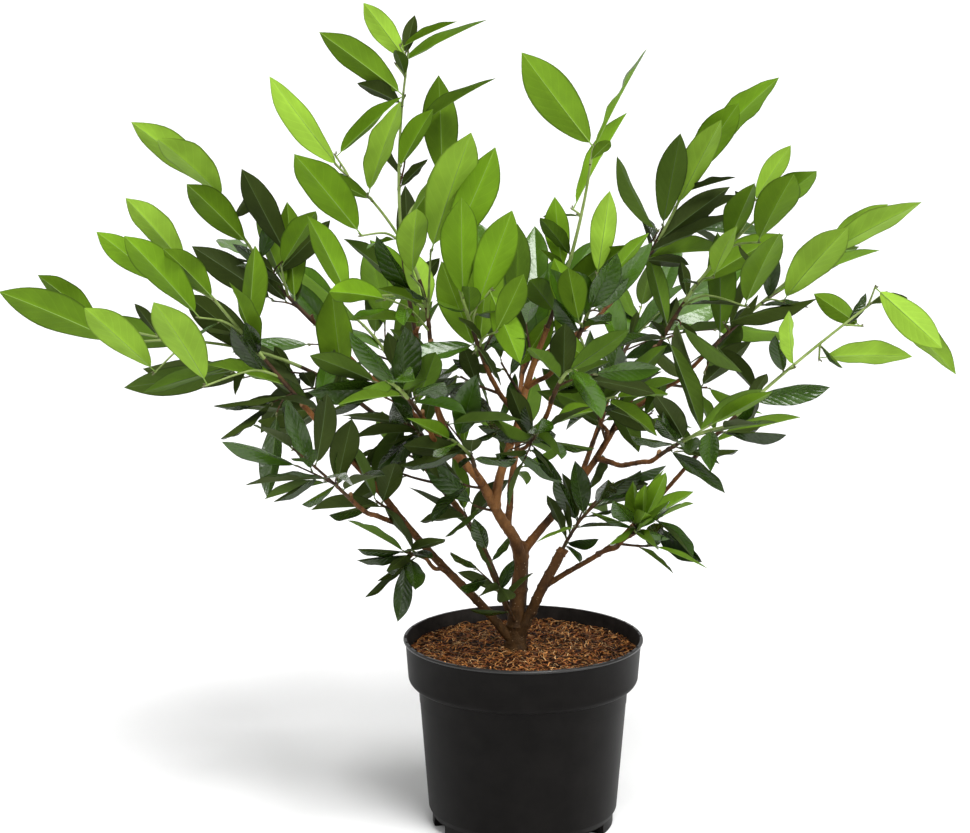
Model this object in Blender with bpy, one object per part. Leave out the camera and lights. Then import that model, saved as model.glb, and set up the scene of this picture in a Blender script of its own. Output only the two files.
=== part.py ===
"""Potted cherry laurel: a young evergreen shrub standing in a round nursery pot.

All sizes are in metres and +Z is up. The pot stands on its flat underside at z = 0,
the origin is the middle of that underside and +Y points away from the viewer.
The soil, the trunk, every bough and every mass of leaves is a solid of its own.
"""

import math
import random

import bmesh
import bpy
from mathutils import Matrix, Vector
from mathutils.bvhtree import BVHTree

# Clear gap kept between neighbouring solids, and the shortest edge a solid may have.
GAP = 0.0003
SLIVER = 0.0000012

# Sizes of the pot, a five litre one.
POT_HEIGHT = 0.181
POT_WALL = 0.0018
POT_SIDES = 32
RIM_RADIUS = 0.1130
RIM_BEAD = 0.0030
MOUTH_OVERRUN = 0.0100
BAND_TOP_RADIUS = 0.1110
BAND_LOW_RADIUS = 0.1085
BAND_BOTTOM = 0.1370
BAND_ROUNDING = 0.0080
BODY_TOP_RADIUS = 0.0988
BODY_LOW_RADIUS = 0.0895
BODY_LOW = 0.0170
FOOT_RADIUS = 0.0860
NOTCH_HEIGHT = 0.0094
NOTCH_DEPTH = 0.0130
NOTCH_WIDTH_DEG = 18.0
NOTCH_MIDDLES_DEG = (-38.0, 82.0, 202.0)

# Sizes of the soil.
SOIL_EDGE = 0.1650
SOIL_MIDDLE = 0.1680
SOIL_FLAT_RADIUS = 0.0400
SOIL_RINGS = (0.034, 0.058, 0.082)
SOIL_LUMP = 0.0012

# The trunk, from its flat cut on the soil to the fork.
TRUNK_FOOT = (-0.0070, 0.0000)
TRUNK_TOP = (-0.0010, 0.0000, 0.2720)
TRUNK_FOOT_RADIUS = 0.0092
TRUNK_TOP_RADIUS = 0.0066
TRUNK_FLARE = 0.0036
TRUNK_BEND = 0.0080

# Boughs: name, limb it leaves, how far along that limb, its tip (side, depth, height),
# how far its middle bows away from a straight line, radius at the root and at the tip.
BOUGHS = (
    ("bough_left_main", "trunk", 0.90, (-0.074, -0.070, 0.386), (0.007, 0.004, 0.000), 0.0055, 0.0038),
    ("bough_centre", "bough_left_main", 0.44, (0.020, -0.055, 0.484), (-0.004, -0.004, -0.004), 0.0046, 0.0024),
    ("bough_right_main", "trunk", 0.94, (0.125, 0.040, 0.449), (0.006, -0.004, -0.006), 0.0040, 0.0024),
    ("stem_left_low", "trunk", 0.10, (-0.201, -0.040, 0.411), (-0.004, -0.006, 0.004), 0.0046, 0.0024),
    ("stem_left_second", "trunk", 0.34, (-0.140, 0.030, 0.389), (0.010, 0.012, 0.012), 0.0036, 0.0026),
    ("stem_right_low", "trunk", 0.14, (0.035, -0.020, 0.269), (0.000, -0.002, 0.002), 0.0050, 0.0046),
    ("bough_right_long", "stem_right_low", 0.60, (0.148, -0.060, 0.360), (0.004, -0.002, -0.010), 0.0028, 0.0018),
    ("bough_left_upper", "bough_left_main", 0.92, (-0.200, 0.050, 0.476), (0.002, 0.018, -0.008), 0.0028, 0.0020),
    ("bough_left_rising", "bough_left_main", 0.96, (-0.085, -0.060, 0.471), (-0.002, -0.004, 0.000), 0.0029, 0.0022),
    ("bough_centre_rising", "bough_left_main", 0.74, (-0.101, 0.020, 0.470), (-0.006, 0.012, -0.006), 0.0029, 0.0022),
    ("bough_centre_front", "bough_centre", 0.55, (-0.037, -0.100, 0.462), (-0.002, -0.006, -0.004), 0.0026, 0.0020),
    ("bough_right_upper", "bough_centre", 0.84, (0.104, 0.030, 0.523), (0.004, 0.006, -0.008), 0.0023, 0.0018),
    ("bough_right_inner", "bough_centre", 0.70, (0.046, -0.085, 0.480), (0.004, -0.004, -0.004), 0.0024, 0.0018),
    ("bough_right_side", "bough_right_main", 0.72, (0.172, 0.060, 0.440), (0.004, 0.002, -0.004), 0.0024, 0.0018),
    ("bough_back", "bough_left_main", 0.26, (0.002, 0.130, 0.420), (0.000, 0.000, -0.010), 0.0034, 0.0022),
    ("bough_back_left", "stem_left_second", 0.55, (-0.120, 0.150, 0.400), (0.000, 0.004, -0.006), 0.0026, 0.0020),
    ("bough_back_right", "bough_right_main", 0.36, (0.095, 0.160, 0.410), (0.000, 0.004, -0.006), 0.0027, 0.0020),
    ("bough_front_left", "stem_left_low", 0.52, (-0.155, -0.130, 0.345), (0.000, -0.004, -0.006), 0.0026, 0.0020),
    ("bough_front_right", "bough_right_main", 0.50, (0.120, -0.090, 0.375), (0.004, -0.006, -0.006), 0.0026, 0.0020),
    ("bough_front_high_left", "bough_left_main", 0.84, (-0.092, -0.135, 0.420), (0.000, -0.004, -0.006), 0.0026, 0.0020),
    ("bough_front_high_right", "bough_centre", 0.40, (0.022, -0.125, 0.430), (0.004, -0.004, -0.006), 0.0026, 0.0020),
    ("bough_low_left", "stem_left_low", 0.30, (-0.094, -0.052, 0.272), (0.000, -0.002, -0.002), 0.0022, 0.0018),
    ("bough_low_right", "bough_right_long", 0.36, (0.096, -0.082, 0.300), (0.000, -0.002, -0.002), 0.0022, 0.0018),
    ("twig_inner_left", "stem_left_second", 0.66, (-0.092, -0.010, 0.370), (0.000, -0.002, -0.002), 0.0022, 0.0018),
    ("twig_inner_front", "bough_left_main", 0.62, (-0.046, -0.082, 0.365), (0.000, -0.002, -0.002), 0.0022, 0.0018),
    ("twig_inner_centre", "bough_centre", 0.28, (0.004, -0.085, 0.385), (0.000, -0.002, -0.002), 0.0022, 0.0018),
    ("twig_inner_right", "bough_right_main", 0.60, (0.070, 0.000, 0.395), (0.000, -0.002, -0.002), 0.0022, 0.0018),
    ("twig_outer_left", "stem_left_low", 0.80, (-0.185, 0.000, 0.390), (0.000, 0.002, -0.002), 0.0022, 0.0018),
)
LIMB_SIDES = 6
LIMB_STEPS = 6
LIMB_SWAY = 0.0016

# Leafy shoots by mass: mass, the bough it goes on from, and its shoots. A shoot has the
# place where it leaves the first one, the point its end leaf reaches (side, depth,
# height), how many leaves, leaf length, turn of the first leaf, lift of the leaves, and
# its end leaf's lean sideways, lean upward and roll about its own length.
STRAIGHT = (0.0, 0.0, 0.0)
MASSES = (
    ("leaves_far_left", "stem_left_second", (
        (0.00, (-0.482, -0.030, 0.518), 4, 0.118, 240.0, 0.16, (0.0, 0.36, 0.0)),
        (0.72, (-0.394, -0.070, 0.506), 1, 0.102, 0.0, 0.16, (0.0, 0.50, 10.0)),
        (0.80, (-0.448, 0.010, 0.524), 1, 0.072, 0.0, 0.16, (0.0, 0.20, 20.0)),
        (0.46, (-0.372, 0.030, 0.412), 2, 0.104, 80.0, 0.00, (0.0, 0.10, 65.0)),
        (0.26, (-0.360, 0.080, 0.424), 2, 0.104, 250.0, 0.00, (0.0, 0.10, 60.0)),
        (0.16, (-0.280, -0.060, 0.385), 3, 0.070, 140.0, 0.00, STRAIGHT),
    )),
    ("leaves_left_middle", "stem_left_low", (
        (0.00, (-0.353, -0.080, 0.610), 4, 0.084, 50.0, 0.25, STRAIGHT),
        (0.74, (-0.380, -0.060, 0.574), 1, 0.074, 0.0, 0.25, (0.0, 0.30, 15.0)),
        (0.50, (-0.347, -0.110, 0.577), 1, 0.106, 0.0, 0.25, (0.0, 0.25, 0.0)),
        (0.20, (-0.323, -0.120, 0.524), 1, 0.106, 0.0, 0.25, (0.2, 0.55, 0.0)),
        (0.34, (-0.286, -0.060, 0.538), 2, 0.084, 95.0, 0.20, (0.1, 0.30, 10.0)),
        (0.08, (-0.227, -0.100, 0.335), 2, 0.080, 200.0, -0.30, (0.0, -0.4, 0.0)),
    )),
    ("leaves_left_top", "bough_left_upper", (
        (0.00, (-0.363, 0.050, 0.668), 3, 0.102, 30.0, 0.20, (0.0, -0.25, 0.0)),
        (0.66, (-0.332, 0.010, 0.658), 1, 0.100, 0.0, 0.20, (0.0, -0.10, 0.0)),
        (0.34, (-0.261, 0.030, 0.620), 2, 0.096, 120.0, 0.25, (-0.35, 0.2, 0.0)),
        (0.08, (-0.313, 0.080, 0.542), 2, 0.095, 190.0, 0.10, (0.0, 0.1, 50.0)),
        (0.20, (-0.190, -0.010, 0.587), 2, 0.078, 250.0, 0.20, (0.2, 0.2, 50.0)),
        (0.36, (-0.300, 0.170, 0.540), 3, 0.080, 190.0, 0.10, STRAIGHT),
    )),
    ("leaves_centre_left", "bough_left_rising", (
        (0.00, (-0.232, -0.060, 0.711), 2, 0.104, 230.0, 0.25, (0.0, 0.15, 66.0)),
        (0.93, (-0.111, -0.050, 0.693), 1, 0.080, 0.0, 0.30, (0.3, 0.0, 45.0)),
        (0.78, (-0.112, -0.090, 0.690), 1, 0.098, 0.0, 0.30, (0.1, 0.2, 50.0)),
        (0.54, (-0.202, -0.120, 0.650), 1, 0.112, 0.0, 0.30, (0.05, 0.25, 0.0)),
        (0.16, (-0.196, -0.020, 0.582), 2, 0.085, 60.0, 0.20, (0.35, 0.5, 0.0)),
        (0.06, (-0.173, -0.150, 0.536), 2, 0.078, 20.0, 0.20, STRAIGHT),
        (0.12, (-0.050, -0.130, 0.671), 1, 0.128, 0.0, 0.30, (0.1, 0.2, 15.0)),
        (0.18, (-0.097, -0.140, 0.608), 1, 0.092, 0.0, 0.30, (0.1, 0.2, 35.0)),
    )),
    ("leaves_centre_tall", "bough_centre_rising", (
        (0.00, (-0.144, 0.000, 0.780), 3, 0.068, 100.0, 0.30, (-0.6, 0.0, 25.0)),
        (0.97, (-0.063, 0.010, 0.757), 1, 0.056, 0.0, 0.30, (0.5, 0.0, 65.0)),
        (0.92, (-0.037, 0.030, 0.759), 1, 0.092, 0.0, 0.30, (0.3, 0.0, 60.0)),
        (0.82, (-0.184, -0.010, 0.748), 1, 0.100, 0.0, 0.30, (-0.3, 0.15, 0.0)),
        (0.36, (-0.075, 0.050, 0.704), 2, 0.098, 60.0, 0.30, (-0.3, 0.3, 0.0)),
        (0.54, (-0.024, 0.040, 0.706), 1, 0.100, 0.0, 0.30, (0.4, 0.0, 66.0)),
        (0.12, (-0.110, 0.110, 0.590), 2, 0.085, 290.0, 0.25, STRAIGHT),
    )),
    ("leaves_centre_front", "bough_centre_front", (
        (0.00, (-0.026, -0.110, 0.653), 3, 0.100, 70.0, 0.30, (0.3, 0.0, 0.0)),
        (0.34, (-0.013, -0.135, 0.600), 1, 0.095, 0.0, 0.30, (0.1, 0.3, 10.0)),
        (0.46, (-0.004, -0.130, 0.466), 1, 0.068, 0.0, 0.30, (0.2, -1.6, 0.0)),
        (0.20, (-0.055, -0.110, 0.556), 2, 0.085, 90.0, 0.30, (0.0, 0.2, 20.0)),
        (0.14, (0.000, -0.150, 0.546), 1, 0.066, 0.0, 0.30, (0.0, 0.3, 0.0)),
        (0.06, (-0.078, -0.120, 0.450), 2, 0.066, 200.0, 0.00, (-0.4, -0.6, 0.0)),
    )),
    ("leaves_right_tall", "bough_centre", (
        (0.00, (0.103, -0.040, 0.738), 2, 0.102, 75.0, 0.30, (0.2, 0.1, 66.0)),
        (0.90, (-0.006, -0.060, 0.728), 1, 0.108, 0.0, 0.30, (-0.2, 0.1, 0.0)),
        (0.62, (0.087, -0.010, 0.674), 1, 0.102, 0.0, 0.30, (0.2, 0.2, 55.0)),
        (0.30, (0.023, -0.060, 0.603), 1, 0.068, 280.0, 0.30, (0.0, 0.2, 0.0)),
        (0.10, (0.000, -0.100, 0.540), 2, 0.070, 120.0, 0.30, STRAIGHT),
    )),
    ("leaves_right_inner", "bough_right_inner", (
        (0.00, (0.074, -0.085, 0.612), 3, 0.076, 130.0, 0.30, STRAIGHT),
        (0.30, (0.080, -0.120, 0.563), 2, 0.070, 10.0, 0.25, STRAIGHT),
        (0.16, (0.033, -0.140, 0.554), 2, 0.072, 240.0, 0.25, (0.0, 0.2, 0.0)),
        (0.40, (0.092, -0.040, 0.566), 1, 0.078, 0.0, 0.25, (0.0, 0.3, 0.0)),
        (0.05, (0.022, -0.125, 0.490), 1, 0.062, 0.0, 0.25, (-0.2, 0.5, 10.0)),
    )),
    ("leaves_right_top", "bough_right_upper", (
        (0.00, (0.231, 0.050, 0.710), 3, 0.108, 45.0, 0.20, (0.2, 0.0, 20.0)),
        (0.70, (0.193, 0.020, 0.684), 1, 0.092, 0.0, 0.30, STRAIGHT),
        (0.24, (0.142, 0.020, 0.655), 2, 0.094, 170.0, 0.30, (0.0, 0.2, 0.0)),
        (0.12, (0.074, 0.000, 0.629), 1, 0.088, 0.0, 0.25, (-0.3, 0.1, 50.0)),
        (0.20, (0.202, 0.090, 0.595), 2, 0.098, 80.0, 0.15, (0.2, 0.1, 45.0)),
        (0.36, (0.190, 0.170, 0.536), 3, 0.080, 200.0, 0.10, STRAIGHT),
    )),
    ("leaves_right_upper", "bough_right_main", (
        (0.00, (0.263, -0.050, 0.634), 4, 0.092, 15.0, 0.30, STRAIGHT),
        (0.70, (0.236, -0.070, 0.630), 1, 0.102, 0.0, 0.30, (-0.1, 0.2, 0.0)),
        (0.30, (0.221, -0.075, 0.577), 1, 0.104, 0.0, 0.30, (-0.2, 0.5, 0.0)),
        (0.42, (0.186, -0.050, 0.581), 1, 0.080, 0.0, 0.30, (0.0, 0.3, 0.0)),
        (0.80, (0.242, 0.010, 0.644), 1, 0.062, 0.0, 0.30, (0.2, 0.2, 10.0)),
        (0.06, (0.160, -0.090, 0.398), 2, 0.092, 330.0, -0.30, (0.5, -0.9, 0.0)),
        (0.20, (0.200, -0.020, 0.442), 2, 0.075, 100.0, 0.00, (0.3, -0.1, 60.0)),
    )),
    ("leaves_right_far", "bough_right_side", (
        (0.00, (0.365, 0.000, 0.597), 3, 0.114, 170.0, 0.20, (0.1, 0.0, 10.0)),
        (0.72, (0.338, 0.050, 0.588), 1, 0.076, 0.0, 0.20, STRAIGHT),
        (0.52, (0.292, 0.000, 0.572), 1, 0.106, 0.0, 0.20, (0.0, 0.2, 0.0)),
        (0.22, (0.270, 0.030, 0.505), 2, 0.092, 170.0, 0.10, (0.3, 0.0, 65.0)),
        (0.12, (0.205, 0.090, 0.470), 2, 0.070, 14.0, 0.10, (0.0, 0.2, 60.0)),
        (0.45, (0.320, 0.110, 0.540), 1, 0.085, 70.0, 0.15, STRAIGHT),
    )),
    ("leaves_right_low", "bough_right_long", (
        (0.00, (0.401, -0.040, 0.454), 2, 0.100, 160.0, 0.14, (0.4, -1.2, 50.0)),
        (0.93, (0.367, -0.100, 0.474), 1, 0.080, 0.0, 0.14, (0.7, -0.9, 0.0)),
        (0.74, (0.345, -0.060, 0.466), 1, 0.082, 0.0, 0.14, (0.8, 0.25, 20.0)),
        (0.84, (0.263, -0.030, 0.512), 1, 0.052, 0.0, 0.14, (-0.6, 0.2, 0.0)),
        (0.56, (0.227, -0.100, 0.508), 1, 0.062, 0.0, 0.14, (-0.2, 0.3, 30.0)),
        (0.44, (0.274, -0.050, 0.430), 2, 0.078, 250.0, 0.10, (0.5, 0.1, -40.0)),
        (0.20, (0.232, -0.100, 0.400), 1, 0.060, 0.0, 0.00, (0.4, 0.0, 0.0)),
        (0.10, (0.195, -0.080, 0.385), 1, 0.062, 40.0, 0.00, (0.3, 0.0, 20.0)),
    )),
    ("leaves_right_short", "stem_right_low", (
        (0.00, (0.120, -0.020, 0.372), 6, 0.055, 70.0, 0.10, STRAIGHT),
        (0.30, (0.075, 0.050, 0.350), 3, 0.055, 200.0, 0.10, STRAIGHT),
        (0.46, (0.105, -0.065, 0.358), 4, 0.052, 20.0, 0.10, STRAIGHT),
        (0.06, (0.010, -0.065, 0.292), 2, 0.048, 60.0, 0.00, (-0.4, -0.4, 0.0)),
    )),
    ("leaves_low_right", "bough_low_right", (
        (0.00, (0.125, -0.110, 0.365), 5, 0.052, 20.0, 0.20, STRAIGHT),
        (0.25, (0.075, -0.130, 0.345), 3, 0.050, 130.0, 0.00, STRAIGHT),
        (0.30, (0.140, -0.070, 0.340), 3, 0.055, 220.0, 0.10, STRAIGHT),
    )),
    ("leaves_low_left", "bough_low_left", (
        (0.00, (-0.152, -0.080, 0.290), 4, 0.048, 40.0, 0.00, STRAIGHT),
        (0.50, (-0.114, -0.080, 0.218), 2, 0.054, 160.0, -0.30, (0.0, -0.5, 0.0)),
        (0.60, (-0.100, -0.120, 0.300), 2, 0.042, 80.0, 0.00, STRAIGHT),
    )),
    ("leaves_back", "bough_back", (
        (0.00, (-0.030, 0.290, 0.510), 6, 0.092, 25.0, 0.25, STRAIGHT),
        (0.25, (0.080, 0.240, 0.530), 3, 0.088, 110.0, 0.25, STRAIGHT),
        (0.20, (-0.050, 0.170, 0.560), 3, 0.088, 230.0, 0.30, STRAIGHT),
        (0.12, (0.020, 0.230, 0.420), 2, 0.075, 310.0, 0.00, STRAIGHT),
    )),
    ("leaves_back_left", "bough_back_left", (
        (0.00, (-0.250, 0.280, 0.500), 6, 0.092, 75.0, 0.20, STRAIGHT),
        (0.25, (-0.130, 0.290, 0.510), 3, 0.088, 190.0, 0.25, STRAIGHT),
        (0.22, (-0.290, 0.170, 0.430), 3, 0.080, 320.0, 0.10, STRAIGHT),
        (0.10, (-0.130, 0.210, 0.380), 2, 0.070, 20.0, -0.10, STRAIGHT),
    )),
    ("leaves_back_right", "bough_back_right", (
        (0.00, (0.240, 0.280, 0.500), 6, 0.092, 5.0, 0.20, STRAIGHT),
        (0.25, (0.140, 0.300, 0.510), 3, 0.088, 100.0, 0.25, STRAIGHT),
        (0.22, (0.270, 0.160, 0.450), 3, 0.080, 210.0, 0.10, STRAIGHT),
        (0.10, (0.110, 0.220, 0.380), 2, 0.070, 300.0, -0.10, STRAIGHT),
    )),
    ("leaves_front_left", "bough_front_left", (
        (0.00, (-0.225, -0.270, 0.445), 5, 0.072, 55.0, 0.05, STRAIGHT),
        (0.25, (-0.260, -0.170, 0.410), 3, 0.070, 140.0, 0.05, STRAIGHT),
        (0.20, (-0.150, -0.250, 0.400), 2, 0.070, 230.0, 0.05, STRAIGHT),
    )),
    ("leaves_front_right", "bough_front_right", (
        (0.00, (0.190, -0.260, 0.440), 5, 0.072, 35.0, 0.05, STRAIGHT),
        (0.25, (0.210, -0.170, 0.450), 3, 0.072, 210.0, 0.10, STRAIGHT),
        (0.20, (0.130, -0.240, 0.415), 2, 0.065, 300.0, 0.05, STRAIGHT),
    )),
    ("leaves_front_high_left", "bough_front_high_left", (
        (0.00, (-0.130, -0.290, 0.480), 5, 0.075, 85.0, 0.15, STRAIGHT),
        (0.25, (-0.185, -0.210, 0.490), 3, 0.075, 10.0, 0.15, STRAIGHT),
        (0.20, (-0.070, -0.230, 0.470), 2, 0.070, 120.0, 0.10, STRAIGHT),
    )),
    ("leaves_front_high_right", "bough_front_high_right", (
        (0.00, (0.050, -0.290, 0.480), 5, 0.072, 65.0, 0.15, STRAIGHT),
        (0.25, (0.115, -0.210, 0.480), 3, 0.072, 160.0, 0.15, STRAIGHT),
    )),
    ("leaves_inner_left", "twig_inner_left", (
        (0.00, (-0.165, -0.090, 0.415), 5, 0.068, 60.0, 0.05, STRAIGHT),
        (0.20, (-0.137, -0.040, 0.335), 3, 0.066, 170.0, -0.20, (0.0, -0.8, 0.0)),
        (0.30, (-0.128, 0.010, 0.321), 2, 0.066, 40.0, -0.20, (0.1, -0.8, 20.0)),
        (0.40, (-0.072, -0.070, 0.350), 2, 0.052, 100.0, -0.10, STRAIGHT),
    )),
    ("leaves_inner_front", "twig_inner_front", (
        (0.00, (-0.105, -0.160, 0.425), 5, 0.064, 30.0, 0.10, STRAIGHT),
        (0.42, (-0.005, -0.150, 0.425), 3, 0.070, 150.0, 0.05, (1.0, -0.2, 0.0)),
        (0.18, (-0.048, -0.145, 0.402), 2, 0.048, 240.0, 0.05, STRAIGHT),
    )),
    ("leaves_inner_centre", "twig_inner_centre", (
        (0.00, (0.015, -0.160, 0.425), 6, 0.064, 80.0, 0.10, STRAIGHT),
        (0.20, (0.035, -0.100, 0.356), 2, 0.055, 200.0, 0.00, (0.8, 0.0, 0.0)),
        (0.15, (-0.020, -0.150, 0.345), 3, 0.050, 100.0, 0.00, STRAIGHT),
    )),
    ("leaves_inner_right", "twig_inner_right", (
        (0.00, (0.130, -0.075, 0.430), 4, 0.070, 100.0, 0.05, STRAIGHT),
        (0.20, (0.108, 0.010, 0.360), 4, 0.062, 230.0, -0.10, (0.0, -0.6, 0.0)),
    )),
    ("leaves_outer_left", "twig_outer_left", (
        (0.00, (-0.280, 0.050, 0.395), 4, 0.078, 120.0, 0.00, STRAIGHT),
        (0.20, (-0.240, -0.030, 0.450), 3, 0.070, 10.0, 0.05, STRAIGHT),
    )),
    ("leaves_short_sprig", "trunk", (
        (0.00, (-0.046, -0.085, 0.322), 6, 0.042, 100.0, 0.10, STRAIGHT),
        (0.40, (-0.068, -0.085, 0.290), 3, 0.042, 20.0, 0.10, STRAIGHT),
    )),
)

# The short sprig leaves the front of the trunk itself, this far up it, with the middle
# of its slanted end this far off the bark.
SPRIG_ON_TRUNK = 0.45
SPRIG_STAND_OFF = 0.0016

# How a shoot grows.
TWIG_STEPS_LEAD = 5
TWIG_STEPS_SIDE = 2
TWIG_LEAD_RADIUS = 0.0024
TWIG_SIDE_RADIUS = 0.0020
TWIG_TIP_RADIUS = 0.0016
TWIG_STIFFNESS = 0.50
BARE_LEAD = 0.14
BARE_SIDE = 0.20
END_LEAF_PLACE = 0.97
LEAF_TURN_DEG = 137.5
SPREADS_ERECT = (46.0, 25.0)
SPREADS_LEVEL = (58.0, 32.0)
SPREAD_LOOSE_DEG = 6.0
LEAF_TWIST_DEG = 42.0
SIDE_KEEP = 1.0
BACK_FROM_Y = 0.09
FAN_FLATNESS = 0.50
FACE_OUT = 0.60
FACE_UP_ERECT = 0.10
FACE_UP_LEVEL = 0.70
ERECT_LIFT = 0.12
AIM_GIVE = 0.10
CUP = 0.25
FACE_INWARD = 1.2
TRY_TURNS_DEG = (0.0, 20.0, -20.0, 40.0, -40.0, 65.0, -65.0, 90.0, -90.0, 130.0, 180.0)

# Proportions of a leaf, as fractions of its length, and the size of its sunk root.
LEAF_WIDTH = 0.31
LEAF_THICK = 0.016
LEAF_ARCH = 0.07
LEAF_ROOT = 0.0005
LEAF_STATIONS = ((0.30, 0.80), (0.64, 0.94))
SMALL_LEAF = 0.101
SMALL_LEAF_STATIONS = ((0.46, 1.04),)
LEAF_CLEARANCE = 0.0008
JOIN_TRIES = (
    ("EXACT", 1.0, 0.6),
    ("EXACT", 1.02, 0.6),
    ("EXACT", 1.04, 0.6),
    ("EXACT", 1.06, 0.6),
    ("EXACT", 1.013, 0.1),
    ("MANIFOLD", 1.0, 0.6),
    ("MANIFOLD", 1.013, 0.6),
    ("MANIFOLD", 1.027, 0.1),
    ("MANIFOLD", 1.041, 0.1),
    ("MANIFOLD", 1.055, 0.1),
    ("MANIFOLD", 1.0, 0.0),
    ("MANIFOLD", 1.02, 0.0),
)

# Plain colours, red green blue.
POT_COLOUR = (0.020, 0.020, 0.022)
SOIL_COLOUR = (0.210, 0.085, 0.030)
BARK_COLOUR = (0.235, 0.105, 0.045)
TWIG_COLOUR = (0.270, 0.150, 0.060)
LEAF_COLOURS = ((0.170, 0.320, 0.035), (0.090, 0.215, 0.030), (0.035, 0.110, 0.020), (0.130, 0.270, 0.035))


def clear_scene():
    for item in list(bpy.data.objects):
        bpy.data.objects.remove(item, do_unlink=True)


def plain_material(name, colour, roughness):
    material = bpy.data.materials.new(name)
    material.use_nodes = True
    shader = material.node_tree.nodes["Principled BSDF"]
    shader.inputs["Base Color"].default_value = (*colour, 1.0)
    shader.inputs["Roughness"].default_value = roughness
    shader.inputs["Metallic"].default_value = 0.0
    material.diffuse_color = (*colour, 1.0)
    return material


def solid(name, points, faces, colour, roughness):
    mesh = bpy.data.meshes.new(name)
    mesh.from_pydata([tuple(point) for point in points], [], faces)
    mesh.validate()
    piece = bpy.data.objects.new(name, mesh)
    bpy.context.scene.collection.objects.link(piece)
    if colour is not None:
        mesh.materials.append(plain_material(name, colour, roughness))
    return piece


def helper(piece):
    piece.hide_render = True
    piece.display_type = "WIRE"


def turned(profile, sides):
    """Turn a closed profile of (radius, height) about the upright axis."""
    points = []
    rings = []
    for radius, height in profile:
        if radius < 1e-6:
            rings.append([len(points)])
            points.append(Vector((0.0, 0.0, height)))
            continue
        ring = []
        for step in range(sides):
            angle = 2.0 * math.pi * step / sides
            ring.append(len(points))
            points.append(Vector((radius * math.cos(angle), radius * math.sin(angle), height)))
        rings.append(ring)
    faces = []
    for low, high in zip(rings, rings[1:]):
        for step in range(sides):
            after = (step + 1) % sides
            if len(low) == 1:
                faces.append((low[0], high[after], high[step]))
            elif len(high) == 1:
                faces.append((low[step], low[after], high[0]))
            else:
                faces.append((low[step], low[after], high[after], high[step]))
    return points, faces


def notch_cutter(name, middle_deg, grow):
    """A block of a ring that cuts a drain notch up into the foot of the pot."""
    half = math.radians(NOTCH_WIDTH_DEG / 2.0) + grow / FOOT_RADIUS
    inner = FOOT_RADIUS - NOTCH_DEPTH - grow
    outer = RIM_RADIUS
    points = []
    for height in (-0.010, NOTCH_HEIGHT + grow):
        for radius in (inner, outer):
            for side in (-1.0, 1.0):
                angle = math.radians(middle_deg) + side * half
                points.append(Vector((radius * math.cos(angle), radius * math.sin(angle), height)))
    faces = [(0, 1, 3, 2), (4, 6, 7, 5), (0, 4, 5, 1), (2, 3, 7, 6), (0, 2, 6, 4), (1, 5, 7, 3)]
    piece = solid(name, points, faces, None, 0.0)
    tidy_faces(piece)
    helper(piece)
    return piece


def tidy_faces(piece):
    """Weld, triangulate and turn the faces outward."""
    shape = bmesh.new()
    shape.from_mesh(piece.data)
    bmesh.ops.remove_doubles(shape, verts=shape.verts, dist=1e-6)
    bmesh.ops.triangulate(shape, faces=shape.faces)
    bmesh.ops.recalc_face_normals(shape, faces=shape.faces)
    shape.to_mesh(piece.data)
    shape.free()


def simplify(piece, angle_deg):
    """Take out the needless points a union leaves on its flat faces."""
    shape = bmesh.new()
    shape.from_mesh(piece.data)
    if angle_deg > 0.0:
        bmesh.ops.dissolve_limit(shape, angle_limit=math.radians(angle_deg), verts=shape.verts, edges=shape.edges)
    bmesh.ops.triangulate(shape, faces=shape.faces)
    bmesh.ops.recalc_face_normals(shape, faces=shape.faces)
    shape.to_mesh(piece.data)
    shape.free()


def is_clean(piece):
    """Whether a piece is one closed body without hair-thin edges."""
    shape = bmesh.new()
    shape.from_mesh(piece.data)
    before = len(shape.verts)
    bmesh.ops.remove_doubles(shape, verts=shape.verts, dist=SLIVER)
    clean = len(shape.verts) == before
    clean = clean and all(len(edge.link_faces) == 2 for edge in shape.edges)
    clean = clean and len(islands_of(shape)) == 1
    shape.free()
    return clean


def islands_of(shape):
    """Groups of points joined by edges, the largest first."""
    seen = set()
    islands = []
    for start in shape.verts:
        if start in seen:
            continue
        island = []
        queue = [start]
        seen.add(start)
        while queue:
            vert = queue.pop()
            island.append(vert)
            for edge in vert.link_edges:
                other = edge.other_vert(vert)
                if other not in seen:
                    seen.add(other)
                    queue.append(other)
        islands.append(island)
    islands.sort(key=len, reverse=True)
    return islands


def cut_away(piece, cutter, solver="EXACT"):
    cut = piece.modifiers.new("clear_" + cutter.name, "BOOLEAN")
    cut.operation = "DIFFERENCE"
    cut.solver = solver
    cut.object = cutter


def freeze(piece):
    """Apply the modifiers of a piece and keep the finished mesh."""
    depsgraph = bpy.context.evaluated_depsgraph_get()
    finished = bpy.data.meshes.new_from_object(piece.evaluated_get(depsgraph), depsgraph=depsgraph)
    finished.name = piece.name
    piece.modifiers.clear()
    old = piece.data
    piece.data = finished
    bpy.data.meshes.remove(old)


def drop(pieces):
    for piece in pieces:
        bpy.data.objects.remove(piece, do_unlink=True)


def rounded_corner(centre_radius, centre_height, size, start_deg, end_deg, steps):
    """Points of a rounded corner, given as (radius, height)."""
    points = []
    for step in range(steps + 1):
        angle = math.radians(start_deg + (end_deg - start_deg) * step / steps)
        points.append((centre_radius + size * math.cos(angle), centre_height + size * math.sin(angle)))
    return points


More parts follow.
